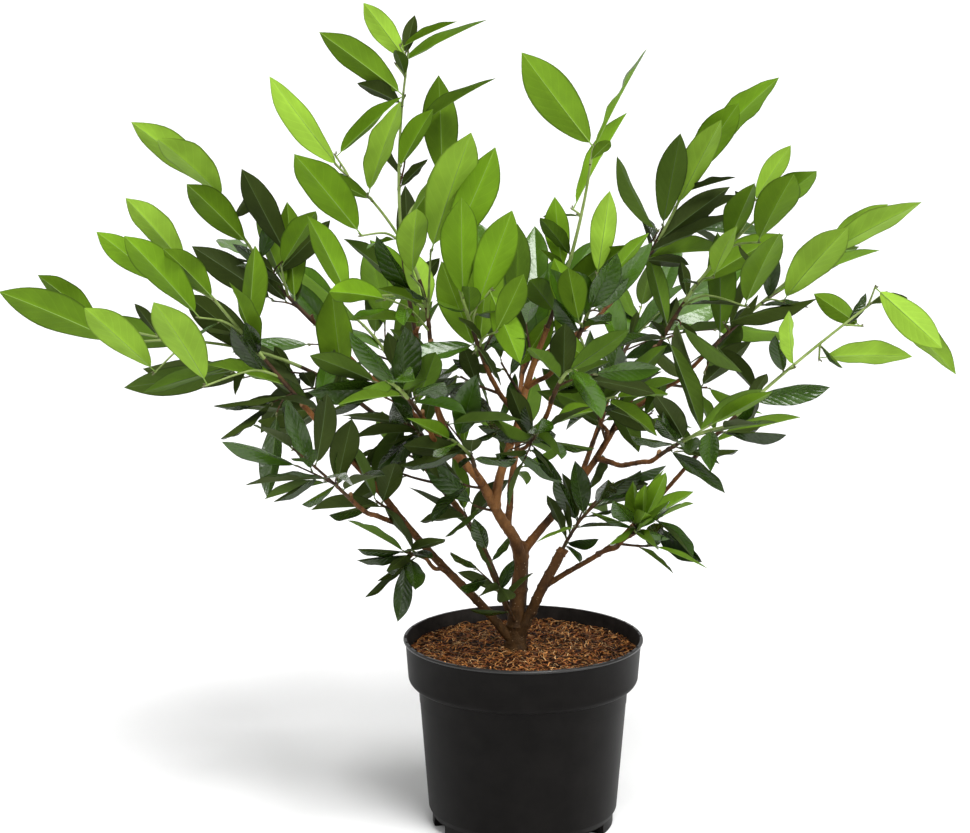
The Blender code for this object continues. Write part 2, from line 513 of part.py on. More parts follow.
def outside_profile():
    """Outside of the pot from the middle of its underside up to the lip."""
    shoulder = BAND_LOW_RADIUS - BAND_ROUNDING
    profile = [(0.0, 0.0), (FOOT_RADIUS - 0.0012, 0.0), (FOOT_RADIUS, 0.0012)]
    profile.append((FOOT_RADIUS, NOTCH_HEIGHT + 0.0006))
    profile.append((BODY_LOW_RADIUS, BODY_LOW))
    profile.append((BODY_TOP_RADIUS, BAND_BOTTOM))
    profile += rounded_corner(shoulder, BAND_BOTTOM + BAND_ROUNDING, BAND_ROUNDING, -62.0, 0.0, 4)
    profile.append((BAND_TOP_RADIUS, POT_HEIGHT - RIM_BEAD))
    profile.append((RIM_RADIUS, POT_HEIGHT - RIM_BEAD + 0.0005))
    profile.append((RIM_RADIUS, POT_HEIGHT - 0.0008))
    profile.append((RIM_RADIUS - 0.0008, POT_HEIGHT))
    return profile


def inside_profile(grow):
    """Inside of the pot, shrunk by grow, from the floor up."""
    wall = POT_WALL + grow
    return [
        (0.0, wall),
        (FOOT_RADIUS - wall - 0.0012, wall),
        (FOOT_RADIUS - wall, wall + 0.0012),
        (FOOT_RADIUS - wall, NOTCH_HEIGHT + 0.0010),
        (BODY_LOW_RADIUS - wall, BODY_LOW + 0.0002),
        (BODY_TOP_RADIUS - wall, BAND_BOTTOM + 0.0010),
        (BAND_LOW_RADIUS - wall, BAND_BOTTOM + BAND_ROUNDING + 0.0008),
    ]


def make_pot():
    points, faces = turned(outside_profile() + [(0.0, POT_HEIGHT)], POT_SIDES)
    pot = solid("pot", points, faces, POT_COLOUR, 0.45)
    tidy_faces(pot)
    hollow = inside_profile(0.0)
    hollow.append((BAND_TOP_RADIUS - POT_WALL, POT_HEIGHT + MOUTH_OVERRUN))
    hollow.append((0.0, POT_HEIGHT + MOUTH_OVERRUN))
    points, faces = turned(hollow, POT_SIDES)
    inside = solid("pot_hollow", points, faces, None, 0.0)
    tidy_faces(inside)
    helper(inside)
    notches = []
    for number, middle in enumerate(NOTCH_MIDDLES_DEG):
        bump = notch_cutter("notch_bump_%d" % number, middle, POT_WALL)
        cut_away(inside, bump)
        notches.append(bump)
        notch = notch_cutter("notch_%d" % number, middle, 0.0)
        cut_away(pot, notch)
        notches.append(notch)
    freeze(inside)
    cut_away(pot, inside)
    freeze(pot)
    drop(notches + [inside])
    tidy_faces(pot)
    return pot


def soil_radius(height):
    """Radius of the soil at a height in the pot's band."""
    low = BAND_BOTTOM + BAND_ROUNDING + 0.0008
    share = (height - low) / (POT_HEIGHT + MOUTH_OVERRUN - low)
    return BAND_LOW_RADIUS + (BAND_TOP_RADIUS - BAND_LOW_RADIUS) * share - POT_WALL - GAP


def make_soil():
    dice = random.Random(11)
    profile = inside_profile(GAP)
    profile.append((soil_radius(SOIL_EDGE), SOIL_EDGE))
    points, faces = turned(profile, POT_SIDES)
    lumps = sorted(SOIL_RINGS, reverse=True)
    last = list(range(len(points) - POT_SIDES, len(points)))
    for radius in lumps:
        share = min(1.0, (soil_radius(SOIL_EDGE) - radius) / (soil_radius(SOIL_EDGE) - SOIL_FLAT_RADIUS))
        height = SOIL_EDGE + (SOIL_MIDDLE - SOIL_EDGE) * share
        ring = []
        for step in range(POT_SIDES):
            angle = 2.0 * math.pi * step / POT_SIDES
            lump = dice.uniform(-SOIL_LUMP, SOIL_LUMP) if radius > SOIL_FLAT_RADIUS else 0.0
            ring.append(len(points))
            points.append(Vector((radius * math.cos(angle), radius * math.sin(angle), height + lump)))
        for step in range(POT_SIDES):
            after = (step + 1) % POT_SIDES
            faces.append((last[step], last[after], ring[after], ring[step]))
        last = ring
    points.append(Vector((0.0, 0.0, SOIL_MIDDLE)))
    for step in range(POT_SIDES):
        faces.append((last[step], last[(step + 1) % POT_SIDES], len(points) - 1))
    soil = solid("soil", points, faces, SOIL_COLOUR, 0.95)
    tidy_faces(soil)
    bumps = []
    for number, middle in enumerate(NOTCH_MIDDLES_DEG):
        bump = notch_cutter("soil_bump_%d" % number, middle, POT_WALL + GAP)
        cut_away(soil, bump)
        bumps.append(bump)
    freeze(soil)
    drop(bumps)
    tidy_faces(soil)
    return soil


def tube(path, radii, sides):
    """A closed limb along a path with one radius for each point."""
    points = []
    faces = []
    tangent = (path[1] - path[0]).normalized()
    across = tangent.orthogonal().normalized()
    for index, centre in enumerate(path):
        before = path[max(0, index - 1)]
        after = path[min(len(path) - 1, index + 1)]
        tangent = (after - before).normalized()
        across = (across - tangent * across.dot(tangent)).normalized()
        other = tangent.cross(across)
        for step in range(sides):
            angle = 2.0 * math.pi * step / sides
            ray = across * math.cos(angle) + other * math.sin(angle)
            points.append(centre + ray * radii[index])
    for index in range(len(path) - 1):
        for step in range(sides):
            low = index * sides
            after = (step + 1) % sides
            faces.append((low + step, low + after, low + sides + after, low + sides + step))
    faces.append(tuple(reversed(range(sides))))
    faces.append(tuple(range(len(points) - sides, len(points))))
    return points, faces


def trunk_path():
    foot = Vector((TRUNK_FOOT[0], TRUNK_FOOT[1], SOIL_MIDDLE + GAP))
    top = Vector(TRUNK_TOP)
    path = []
    radii = []
    for step in range(LIMB_STEPS + 1):
        share = (step / LIMB_STEPS) ** 1.5
        centre = foot.lerp(top, share)
        centre.x = foot.x + (top.x - foot.x) * share * share + TRUNK_BEND * share * share * (1.0 - share)
        path.append(centre)
        taper = TRUNK_FOOT_RADIUS + (TRUNK_TOP_RADIUS - TRUNK_FOOT_RADIUS) * share
        radii.append(taper + TRUNK_FLARE * math.exp(-share * 14.0))
    return path, radii


def along(path, share):
    """Point and direction part of the way along a path."""
    place = share * (len(path) - 1)
    index = min(int(place), len(path) - 2)
    point = path[index].lerp(path[index + 1], place - index)
    return point, (path[index + 1] - path[index]).normalized()


def thickness_at(radii, share):
    """Radius part of the way along a limb."""
    place = share * (len(radii) - 1)
    index = min(int(place), len(radii) - 2)
    return radii[index] + (radii[index + 1] - radii[index]) * (place - index)


def bough_path(root, tip, bow, seed):
    """A gently bowed line with a slight seeded sway."""
    dice = random.Random(seed)
    phase = dice.uniform(0.0, 6.28)
    run = (tip - root).normalized()
    sway = run.orthogonal().normalized()
    sway.rotate(Matrix.Rotation(dice.uniform(0.0, 6.28), 3, run))
    path = []
    for step in range(LIMB_STEPS + 1):
        share = step / LIMB_STEPS
        hump = 4.0 * share * (1.0 - share)
        wave = math.sin(phase + share * 11.0) * LIMB_SWAY * min(1.0, hump * 2.0)
        path.append(root.lerp(tip, share) + bow * hump + sway * wave)
    return path


def grown_limbs():
    """Paths and radii of the trunk and of every bough, by name."""
    path, radii = trunk_path()
    limbs = {"trunk": (path, radii, None)}
    for number, (name, parent, where, tip, bow, root_radius, tip_radius) in enumerate(BOUGHS):
        root = along(limbs[parent][0], where)[0]
        path = bough_path(root, Vector(tip), Vector(bow), 300 + number)
        radii = []
        for step in range(LIMB_STEPS + 1):
            share = step / LIMB_STEPS
            radii.append(root_radius + (tip_radius - root_radius) * share ** 0.8)
        limbs[name] = (path, radii, parent)
    return limbs


def limb_tree(path, radii, grow, sides=LIMB_SIDES):
    """Search tree of a limb, grown outward, for asking what touches it."""
    points, faces = tube(path, [radius + grow for radius in radii], sides)
    return BVHTree.FromPolygons(points, faces)


def make_limbs(limbs):
    """Build each limb as a solid and clear it from the limbs it leaves or brushes."""
    names = list(limbs)
    pieces = {}
    for name in names:
        path, radii, parent = limbs[name]
        sides = 12 if name == "trunk" else LIMB_SIDES
        colour = BARK_COLOUR if radii[0] > 0.003 else TWIG_COLOUR
        points, faces = tube(path, radii, sides)
        pieces[name] = solid(name, points, faces, colour, 0.8)
        tidy_faces(pieces[name])
    for number, name in enumerate(names):
        path, radii, parent = limbs[name]
        own = limb_tree(path, radii, GAP)
        cutters = []
        for other in names[:number]:
            other_path, other_radii, other_parent = limbs[other]
            sides = 12 if other == "trunk" else LIMB_SIDES
            if not own.overlap(limb_tree(other_path, other_radii, GAP, sides)) and other != parent:
                continue
            fat_path = list(other_path)
            last_run = (fat_path[-1] - fat_path[-2]).normalized()
            first_run = (fat_path[1] - fat_path[0]).normalized()
            fat_path[-1] = fat_path[-1] + last_run * GAP * 1.5
            fat_path[0] = fat_path[0] - first_run * GAP * 1.5
            points, faces = tube(fat_path, [radius + GAP * 1.3 for radius in other_radii], sides)
            cutter = solid("fat_" + other, points, faces, None, 0.0)
            tidy_faces(cutter)
            helper(cutter)
            cut_away(pieces[name], cutter)
            cutters.append(cutter)
        if cutters:
            freeze(pieces[name])
            drop(cutters)
            keep_largest(pieces[name])
            tidy_faces(pieces[name])
    return pieces


def keep_largest(piece):
    """Where a cut leaves a chip on the far side of the parent limb, drop the chip."""
    shape = bmesh.new()
    shape.from_mesh(piece.data)
    for island in islands_of(shape)[1:]:
        bmesh.ops.delete(shape, geom=island, context="VERTS")
    shape.to_mesh(piece.data)
    shape.free()


def curve_points(start, middle, end, steps):
    """Points on a smooth curve that leaves start toward middle and arrives at end."""
    points = []
    for step in range(steps + 1):
        share = step / steps
        back = 1.0 - share
        points.append(start * back * back + middle * 2.0 * share * back + end * share * share)
    return points


def shoot_path(start, heading, reach, leaf_length, lean, steps):
    """Path of a twig whose end leaf comes to the point it reaches, and that leaf's aim."""
    distance = max(0.0, (reach - start).length - leaf_length)
    middle = start + heading * distance * TWIG_STIFFNESS
    aim = ((reach - middle).normalized() + Vector((lean[0], 0.0, lean[1]))).normalized()
    end = reach - aim * leaf_length
    return curve_points(start, middle, end, steps), aim


def grown_twigs(limbs):
    """Paths of the twigs of every mass, worked out before any leaf."""
    masses = {}
    for mass, bough, shoots in MASSES:
        path, radii, parent = limbs[bough]
        if bough == "trunk":
            start, heading = along(path, SPRIG_ON_TRUNK)
            outward = Vector((-0.30, -1.0, 0.0)).normalized()
            start = start + outward * (thickness_at(radii, SPRIG_ON_TRUNK) + SPRIG_STAND_OFF)
            heading = (outward + Vector((0.0, 0.0, 0.8))).normalized()
            root_radius = TWIG_SIDE_RADIUS
        else:
            heading = (path[-1] - path[-2]).normalized()
            start = path[-1] + heading * GAP
            root_radius = TWIG_LEAD_RADIUS
        twigs = []
        for number, (where, reach, count, leaf_length, turn, lift, end_leaf) in enumerate(shoots):
            lead = number == 0
            steps = TWIG_STEPS_LEAD if lead else TWIG_STEPS_SIDE
            thick = root_radius if lead else TWIG_SIDE_RADIUS
            point = start
            run = heading
            if not lead:
                point, run = along(twigs[0]["line"], where)
                wish = (Vector(reach) - point).normalized()
                run = (run * SIDE_KEEP + wish).normalized()
            line, aim = shoot_path(point, run, Vector(reach), leaf_length, end_leaf, steps)
            radii_line = []
            for step in range(steps + 1):
                radii_line.append(thick + (TWIG_TIP_RADIUS - thick) * step / steps)
            twigs.append({
                "line": line,
                "radii": radii_line,
                "count": count,
                "leaf_length": leaf_length,
                "turn": turn,
                "lift": lift,
                "aim": aim,
                "roll": end_leaf[2],
                "lead": lead,
            })
        masses[mass] = twigs
    return masses


def facing_of(end):
    """Horizontal direction the upper sides of a shoot's leaves look to."""
    away = 1.0 if end.y < BACK_FROM_Y else -1.0
    return Vector((-FACE_INWARD * end.x, away, 0.0)).normalized()


def leaf_plans(twig, dice):
    """Root, direction, face and length of each leaf a shoot would like to grow."""
    plans = []
    line = twig["line"]
    bare = BARE_LEAD if twig["lead"] else BARE_SIDE
    facing = facing_of(line[-1])
    erect = twig["lift"] >= ERECT_LIFT
    low_spread, high_spread = SPREADS_ERECT if erect else SPREADS_LEVEL
    for number in range(twig["count"]):
        share = 1.0 - number / max(1, twig["count"] - 1)
        place = bare + (1.0 - bare) * share ** 0.9
        point, run = along(line, min(place, END_LEAF_PLACE))
        first = (facing - run * facing.dot(run)).normalized()
        second = run.cross(first)
        spread = low_spread + (high_spread - low_spread) * share
        spread += dice.uniform(-SPREAD_LOOSE_DEG, SPREAD_LOOSE_DEG)
        length = twig["leaf_length"] * (0.80 + 0.25 * math.sin(math.pi * (0.15 + 0.75 * share)))
        length *= dice.uniform(0.92, 1.08)
        twist = dice.uniform(-LEAF_TWIST_DEG, LEAF_TWIST_DEG)
        aim = None
        if number == 0:
            length = twig["leaf_length"]
            twist = twig["roll"]
            aim = twig["aim"]
        plans.append({
            "root": point,
            "run": run,
            "aim": aim,
            "first": first,
            "second": second,
            "azimuth": twig["turn"] + number * LEAF_TURN_DEG + dice.uniform(-15.0, 15.0),
            "spread": spread,
            "length": length,
            "lift": twig["lift"],
            "facing": facing,
            "cup": CUP if number else 0.0,
            "level": FACE_UP_ERECT if erect else FACE_UP_LEVEL,
            "twist": twist,
        })
    return plans


def leaf_pose(plan, extra_turn):
    """Direction of a leaf and the way its upper side looks."""
    angle = math.radians(plan["azimuth"] + extra_turn)
    ray = plan["first"] * math.cos(angle) * FAN_FLATNESS + plan["second"] * math.sin(angle)
    ray.normalize()
    spread = math.radians(plan["spread"])
    direction = plan["run"] * math.cos(spread) + ray * math.sin(spread)
    direction = (direction + Vector((0.0, 0.0, plan["lift"]))).normalized()
    if plan["aim"]:
        direction = plan["aim"] + ray * math.sin(math.radians(extra_turn * AIM_GIVE))
        direction.normalize()
    look = plan["facing"] * FACE_OUT - ray * plan["cup"] + Vector((0.0, 0.0, plan["level"]))
    face = look - direction * look.dot(direction)
    face.normalize()
    face.rotate(Matrix.Rotation(math.radians(plan["twist"]), 3, direction))
    return direction, face


def leaf_shape(root, direction, face, length, grow):
    """A closed blade with a ridge below: a small root, two full stations and a tip."""
    side = direction.cross(face)
    points = []
    stations = [(0.0, 0.0)] + list(LEAF_STATIONS if length > SMALL_LEAF else SMALL_LEAF_STATIONS)
    for share, fullness in stations:
        half = length * LEAF_WIDTH / 2.0 * fullness + grow
        thick = length * LEAF_THICK + grow
        if share == 0.0:
            half = LEAF_ROOT + grow
            thick = LEAF_ROOT + grow
        centre = root + direction * length * share - face * length * LEAF_ARCH * share * share
        points.append(centre - side * half + face * (thick * 0.5 + grow * 0.5))
        points.append(centre + side * half + face * (thick * 0.5 + grow * 0.5))
        points.append(centre - face * thick * 0.7)
    points.append(root + direction * (length + grow) - face * length * LEAF_ARCH)
    faces = [(0, 2, 1)]
    for ring in range(len(stations) - 1):
        for step in range(3):
            low = ring * 3
            after = (step + 1) % 3
            faces.append((low + step, low + 3 + step, low + 3 + after))
            faces.append((low + step, low + 3 + after, low + after))
    top = (len(stations) - 1) * 3
    for step in range(3):
        faces.append((top + step, len(points) - 1, top + (step + 1) % 3))
    return points, faces


def bounds_of(points):
    low = Vector((min(point[axis] for point in points) for axis in range(3)))
    high = Vector((max(point[axis] for point in points) for axis in range(3)))
    return low, high


def boxes_meet(one, two):
    return all(one[0][axis] <= two[1][axis] and two[0][axis] <= one[1][axis] for axis in range(3))


def obstacle(owner, points, faces):
    return {"owner": owner, "box": bounds_of(points), "tree": BVHTree.FromPolygons(points, faces)}


def is_free(points, faces, obstacles, owner):
    """Whether a piece keeps clear of all obstacles but those of its owner."""
    box = bounds_of(points)
    tree = None
    for other in obstacles:
        if other["owner"] == owner or not boxes_meet(box, other["box"]):
            continue
        if tree is None:
            tree = BVHTree.FromPolygons(points, faces)
        if tree.overlap(other["tree"]):
            return False
    return True


def pot_obstacles():
    """The pot with its soil as one plain block that leaves keep out of."""
    wide = RIM_RADIUS + 0.002
    points, faces = turned([(0.0, 0.0), (wide, 0.0), (wide, POT_HEIGHT + 0.002), (0.0, POT_HEIGHT + 0.002)], 24)
    return [obstacle("pot", points, faces)]


def grown_leaves(limbs, masses):
    """Choose the leaves of every mass, leaving out those that would touch a neighbour."""
    obstacles = pot_obstacles()
    for name, (path, radii, parent) in limbs.items():
        points, faces = tube(path, radii, LIMB_SIDES)
        obstacles.append(obstacle(name, points, faces))
    for mass, twigs in masses.items():
        for twig in twigs:
            points, faces = tube(twig["line"], twig["radii"], 3)
            obstacles.append(obstacle(mass, points, faces))
    leaves = {}
    skipped = 0
    for number, (mass, twigs) in enumerate(masses.items()):
        dice = random.Random(500 + number)
        leaves[mass] = []
        family = [other for other in obstacles if other["owner"] == mass]
        for twig_number, twig in enumerate(twigs):
            for leaf_number, plan in enumerate(leaf_plans(twig, dice)):
                placed = False
                for extra in TRY_TURNS_DEG:
                    direction, face = leaf_pose(plan, extra)
                    root = plan["root"]
                    fat = leaf_shape(root, direction, face, plan["length"], LEAF_CLEARANCE)
                    if not is_free(fat[0], fat[1], obstacles, mass):
                        continue
                    blade_root = root + direction * plan["length"] * 0.16
                    blade = leaf_shape(blade_root, direction, face, plan["length"] * 0.84, 0.0)
                    if not is_free(blade[0], blade[1], family, None):
                        continue
                    real = leaf_shape(root, direction, face, plan["length"], 0.0)
                    obstacles.append(obstacle(mass, real[0], real[1]))
                    family.append(obstacles[-1])
                    leaves[mass].append({
                        "root": root,
                        "direction": direction,
                        "face": face,
                        "length": plan["length"],
                        "shoot": twig_number,
                        "number": leaf_number,
                    })
                    placed = True
                    break
                if not placed:
                    skipped += 1
    print("leaves grown", sum(len(found) for found in leaves.values()), "left out", skipped)
    return leaves


def joined_mass(mass, twigs, leaves, colour, solver, thicken, angle_deg):
    """Join the twigs and leaves of one mass into one solid by one union."""
    points, faces = tube(twigs[0]["line"], [radius * thicken for radius in twigs[0]["radii"]], 3)
    whole = solid(mass, points, faces, colour, 0.45)
    tidy_faces(whole)
    group = bpy.data.collections.new(mass + "_parts")
    bpy.context.scene.collection.children.link(group)
    parts = []
    for twig in twigs[1:]:
        points, faces = tube(twig["line"], [radius * thicken for radius in twig["radii"]], 3)
        parts.append(solid(mass + "_twig", points, faces, None, 0.0))
    for leaf in leaves:
        points, faces = leaf_shape(leaf["root"], leaf["direction"], leaf["face"], leaf["length"], 0.0)
        parts.append(solid(mass + "_leaf", points, faces, None, 0.0))
    for part in parts:
        tidy_faces(part)
        helper(part)
        bpy.context.scene.collection.objects.unlink(part)
        group.objects.link(part)
    join = whole.modifiers.new("join_leaves", "BOOLEAN")
    join.operation = "UNION"
    join.operand_type = "COLLECTION"
    join.collection = group
    join.solver = solver
    freeze(whole)
    drop(parts)
    bpy.data.collections.remove(group)
    simplify(whole, angle_deg)
    return whole


def make_masses(masses, leaves):
    """Build each mass, again with slightly thicker twigs where slivers are left."""
    for number, (mass, twigs) in enumerate(masses.items()):
        colour = LEAF_COLOURS[number % len(LEAF_COLOURS)]
        whole = None
        for solver, thicken, angle_deg in JOIN_TRIES:
            if whole is not None:
                material = whole.data.materials[0]
                drop([whole])
                bpy.data.materials.remove(material)
            whole = joined_mass(mass, twigs, leaves[mass], colour, solver, thicken, angle_deg)
            if is_clean(whole):
                break
        else:
            print("not clean:", mass)


def build():
    clear_scene()
    make_pot()
    make_soil()
    limbs = grown_limbs()
    make_limbs(limbs)
    masses = grown_twigs(limbs)
    leaves = grown_leaves(limbs, masses)
    make_masses(masses, leaves)
    total = 0
    for piece in bpy.data.objects:
        piece.data.calc_loop_triangles()
        total += len(piece.data.loop_triangles)
    print("objects", len(bpy.data.objects), "triangles", total)


build()
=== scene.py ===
# %% [markdown]
# # A young cherry laurel in its nursery pot
# The real plant is an evergreen shrub, three quarters of a metre tall, in a five litre
# pot of black plastic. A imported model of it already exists: plain solids for the pot,
# the soil, the trunk, each bough and each mass of leaves. This lesson dresses that
# frame. It never moves it: every piece made here rides on the frame's one body.

import math
import random

import bmesh
import bpy
import numpy as np
from mathutils import Matrix, Vector, noise
from mathutils.bvhtree import BVHTree


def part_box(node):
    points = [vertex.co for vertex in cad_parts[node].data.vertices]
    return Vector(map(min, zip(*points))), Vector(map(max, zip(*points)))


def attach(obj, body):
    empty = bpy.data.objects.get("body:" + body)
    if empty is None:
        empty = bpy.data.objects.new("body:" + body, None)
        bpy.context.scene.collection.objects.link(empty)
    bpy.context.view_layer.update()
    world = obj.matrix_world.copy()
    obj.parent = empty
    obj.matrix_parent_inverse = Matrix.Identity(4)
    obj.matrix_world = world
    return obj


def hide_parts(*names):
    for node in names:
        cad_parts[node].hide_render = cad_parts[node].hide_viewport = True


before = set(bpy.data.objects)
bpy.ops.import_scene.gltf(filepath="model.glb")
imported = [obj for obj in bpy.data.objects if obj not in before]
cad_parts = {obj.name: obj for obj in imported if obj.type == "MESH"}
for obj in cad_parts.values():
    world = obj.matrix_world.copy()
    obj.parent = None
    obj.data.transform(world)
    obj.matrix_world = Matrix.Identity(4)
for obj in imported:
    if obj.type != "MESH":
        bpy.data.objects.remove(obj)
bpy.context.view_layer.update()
UP = Vector((0.0, 0.0, 1.0))
FULL_TURN = 2.0 * math.pi
MM_PER_METRE = 1000.0

# %% [markdown]
# ## Camera, light and floor
# The photograph was taken from a little above with a long lens, so upright stems hardly
# lean together. One soft sun with a wide disc stands for the studio's big overhead
# softbox and lights the whole floor evenly. A panel on the right draws the broad grey
# sheen on the pot, and a weaker one on the left opens the shadows.

# %% Camera
PHOTO_WIDTH = 970
FOCAL_PIXELS = 2420.0
SENSOR_WIDTH = 36.0
EYE = (-0.036, -2.2, 0.82)
PITCH_DOWN_DEG = 11.0


def put(name, data):
    """Make an object of some data and link it to the scene."""
    thing = bpy.data.objects.new(name, data)
    bpy.context.scene.collection.objects.link(thing)
    return thing


lens = bpy.data.cameras.new("camera")
lens.sensor_width = SENSOR_WIDTH
lens.lens = SENSOR_WIDTH * FOCAL_PIXELS / PHOTO_WIDTH
camera = put("camera", lens)
camera.location = EYE
camera.rotation_euler = (math.radians(90.0 - PITCH_DOWN_DEG), 0.0, 0.0)
bpy.context.scene.camera = camera
bpy.context.scene.view_settings.view_transform = "Standard"
print("lens", round(lens.lens, 1), "mm")

# %% Lights
SUN_STRENGTH = 3.8
SUN_DISC_DEG = 30.0
SUN_TILT_DEG = 32.0
SUN_TURN_DEG = 24.0
PANELS_AIM = Vector((0.0, 0.0, 0.4))
# name, place, width, height and power
PANELS = (
    ("right_panel", (2.1, -1.5, 1.1), 0.9, 1.8, 22.0),
    ("left_panel", (-1.6, -2.2, 2.0), 1.2, 1.2, 9.0),
)

light = bpy.data.lights.new("overhead_softbox", "SUN")
light.energy = SUN_STRENGTH
light.angle = math.radians(SUN_DISC_DEG)
put(light.name, light).rotation_euler = (math.radians(SUN_TILT_DEG), 0.0, math.radians(SUN_TURN_DEG))
for name, place, width, height, power in PANELS:
    light = bpy.data.lights.new(name, "AREA")
    light.shape = "RECTANGLE"
    light.size = width
    light.size_y = height
    light.energy = power
    panel = put(name, light)
    panel.location = place
    panel.rotation_euler = (PANELS_AIM - Vector(place)).to_track_quat("-Z", "Y").to_euler()
print("lights", 1 + len(PANELS))

# %% [markdown]
# The world has three strengths. The camera sees plain white. Surfaces are lit by a
# dimmer sky, so the crown keeps its dark inner shadows. What mirrors in a glossy leaf
# is a studio: dark walls, a bright ceiling of cloth and a white backdrop. Its nodes are
# made by small helpers that every material further down uses again.


# %% Node helpers
def node(tree, kind, inputs=None, **options):
    """Add a node, set its options, then fill or link its inputs by name or number."""
    made = tree.nodes.new(kind)
    for option, value in options.items():
        setattr(made, option, value)
    for socket, value in (inputs or {}).items():
        if isinstance(value, bpy.types.NodeSocket):
            tree.links.new(value, made.inputs[socket])
        else:
            made.inputs[socket].default_value = value
    return made


def calculate(tree, operation, first, second=0.0, third=0.0):
    """One step of arithmetic in a node tree."""
    return node(tree, "ShaderNodeMath", {0: first, 1: second, 2: third}, operation=operation).outputs[0]


def rescale(tree, value, low, high, at_low=0.0, at_high=1.0):
    """Turn the stretch between two places of a value into that between two others."""
    ends = {"Value": value, "From Min": low, "From Max": high, "To Min": at_low, "To Max": at_high}
    return node(tree, "ShaderNodeMapRange", ends).outputs["Result"]


def mix_colours(tree, share, first, second):
    """The first colour where the share is nothing, the second where it is one."""
    return node(tree, "ShaderNodeMix", {0: share, 6: first, 7: second}, data_type="RGBA").outputs[2]


def place_of(tree, kind="Object"):
    """Coordinates of the point that is being coloured."""
    return node(tree, "ShaderNodeTexCoord").outputs[kind]


# %% World
SKY_LIGHT = 0.50
WALLS_MIRRORED = 0.12
CEILING_MIRRORED = 1.10
CEILING_FROM, CEILING_FULL = 0.50, 0.85
BACKDROP_MIRRORED = 0.55
BACKDROP_FROM, BACKDROP_FULL = 0.30, 0.80

world = bpy.data.worlds.new("studio")
world.use_nodes = True
air = world.node_tree
sky = air.nodes["Background"]
sky.inputs["Color"].default_value = (1.0, 1.0, 1.0, 1.0)
ray = node(air, "ShaderNodeLightPath").outputs
way = node(air, "ShaderNodeSeparateXYZ", {0: place_of(air, "Generated")}).outputs
ceiling = rescale(air, way["Z"], CEILING_FROM, CEILING_FULL, 0.0, CEILING_MIRRORED)
backdrop = rescale(air, way["Y"], BACKDROP_FROM, BACKDROP_FULL, 0.0, BACKDROP_MIRRORED)
studio = calculate(air, "MAXIMUM", calculate(air, "MAXIMUM", ceiling, backdrop), WALLS_MIRRORED)
mirrored = rescale(air, ray["Is Glossy Ray"], 0.0, 1.0, SKY_LIGHT, studio)
glow = rescale(air, ray["Is Camera Ray"], 0.0, 1.0, mirrored, 1.0)
air.links.new(glow, sky.inputs["Strength"])
bpy.context.scene.world = world
print("world nodes", len(air.nodes))

# %% Floor
FLOOR_SIZE = 80.0
FLOOR_GREY = 0.86


def finish(name, colour, roughness, shine=0.5, coat=0.0):
    """A material whose plain numbers sit on the shader's own sockets."""
    material = bpy.data.materials.new(name)
    material.use_nodes = True
    inputs = material.node_tree.nodes["Principled BSDF"].inputs
    inputs["Base Color"].default_value = (*colour, 1.0)
    inputs["Roughness"].default_value = roughness
    inputs["Specular IOR Level"].default_value = shine
    inputs["Coat Weight"].default_value = coat
    return material


def keep(name, points, faces, materials=()):
    """Make a mesh object at the origin, with its place in its points."""
    mesh = bpy.data.meshes.new(name)
    mesh.from_pydata([tuple(point) for point in points], [], faces)
    for material in materials:
        mesh.materials.append(material)
    return put(name, mesh)


def triangles(piece):
    """How many triangles a piece has."""
    return sum(len(face.vertices) - 2 for face in piece.data.polygons)


half = FLOOR_SIZE / 2.0
corners = [(-half, -half, 0.0), (half, -half, 0.0), (half, half, 0.0), (-half, half, 0.0)]
floor = keep("floor", corners, [(0, 1, 2, 3)], [finish("pale_floor", (FLOOR_GREY,) * 3, 0.9)])
print("floor", FLOOR_SIZE, "m wide")

# %% [markdown]
# ## Shared finishes
# Two effects turn up on several surfaces. The first is an uneven, cloudy colour with a
# matching relief, as on plastic, bark and soil. The second is the skin of a laurel leaf:
# paler along its rib and side veins, with painted shade darkening its edge, quilted between
# the veins and finely wrinkled. It is read from the leaf's own map so that it follows each
# leaf. Both are node groups that put out colours and heights only.


# %% Cloudy colour group
def new_tree(name, kind, inputs, outputs):
    """A group with named inputs and outputs, and the sockets that bring its inputs in."""
    tree = bpy.data.node_groups.new(name, kind)
    for way, rows in (("INPUT", inputs), ("OUTPUT", outputs)):
        for label, what, *value in rows:
            made = tree.interface.new_socket(label, in_out=way, socket_type="NodeSocket" + what)
            if value:
                made.default_value = value[0]
    return tree, node(tree, "NodeGroupInput").outputs


COLOUR_AND_HEIGHT = (("Colour", "Color"), ("Height", "Float"))


def cloud_group():
    """Object-space noise that mixes two colours and gives a height."""
    tree, given = new_tree("cloudy_colour", "ShaderNodeTree", (
        ("Scale", "Float", 40.0),
        ("Stretch", "Vector", (1.0, 1.0, 1.0)),
        ("Low", "Float", 0.35),
        ("High", "Float", 0.65),
        ("First colour", "Color"),
        ("Second colour", "Color"),
    ), COLOUR_AND_HEIGHT)
    stretching = {0: place_of(tree), 1: given["Stretch"]}
    stretched = node(tree, "ShaderNodeVectorMath", stretching, operation="MULTIPLY").outputs[0]
    grain = {"Vector": stretched, "Scale": given["Scale"], "Detail": 6.0, "Roughness": 0.62}
    cloud = node(tree, "ShaderNodeTexNoise", grain).outputs["Fac"]
    share = rescale(tree, cloud, given["Low"], given["High"])
    mixed = mix_colours(tree, share, given["First colour"], given["Second colour"])
    node(tree, "NodeGroupOutput", {"Colour": mixed, "Height": cloud})
    return tree


cloudy = cloud_group()
print("group", cloudy.name, "with", len(cloudy.interface.items_tree), "sockets")

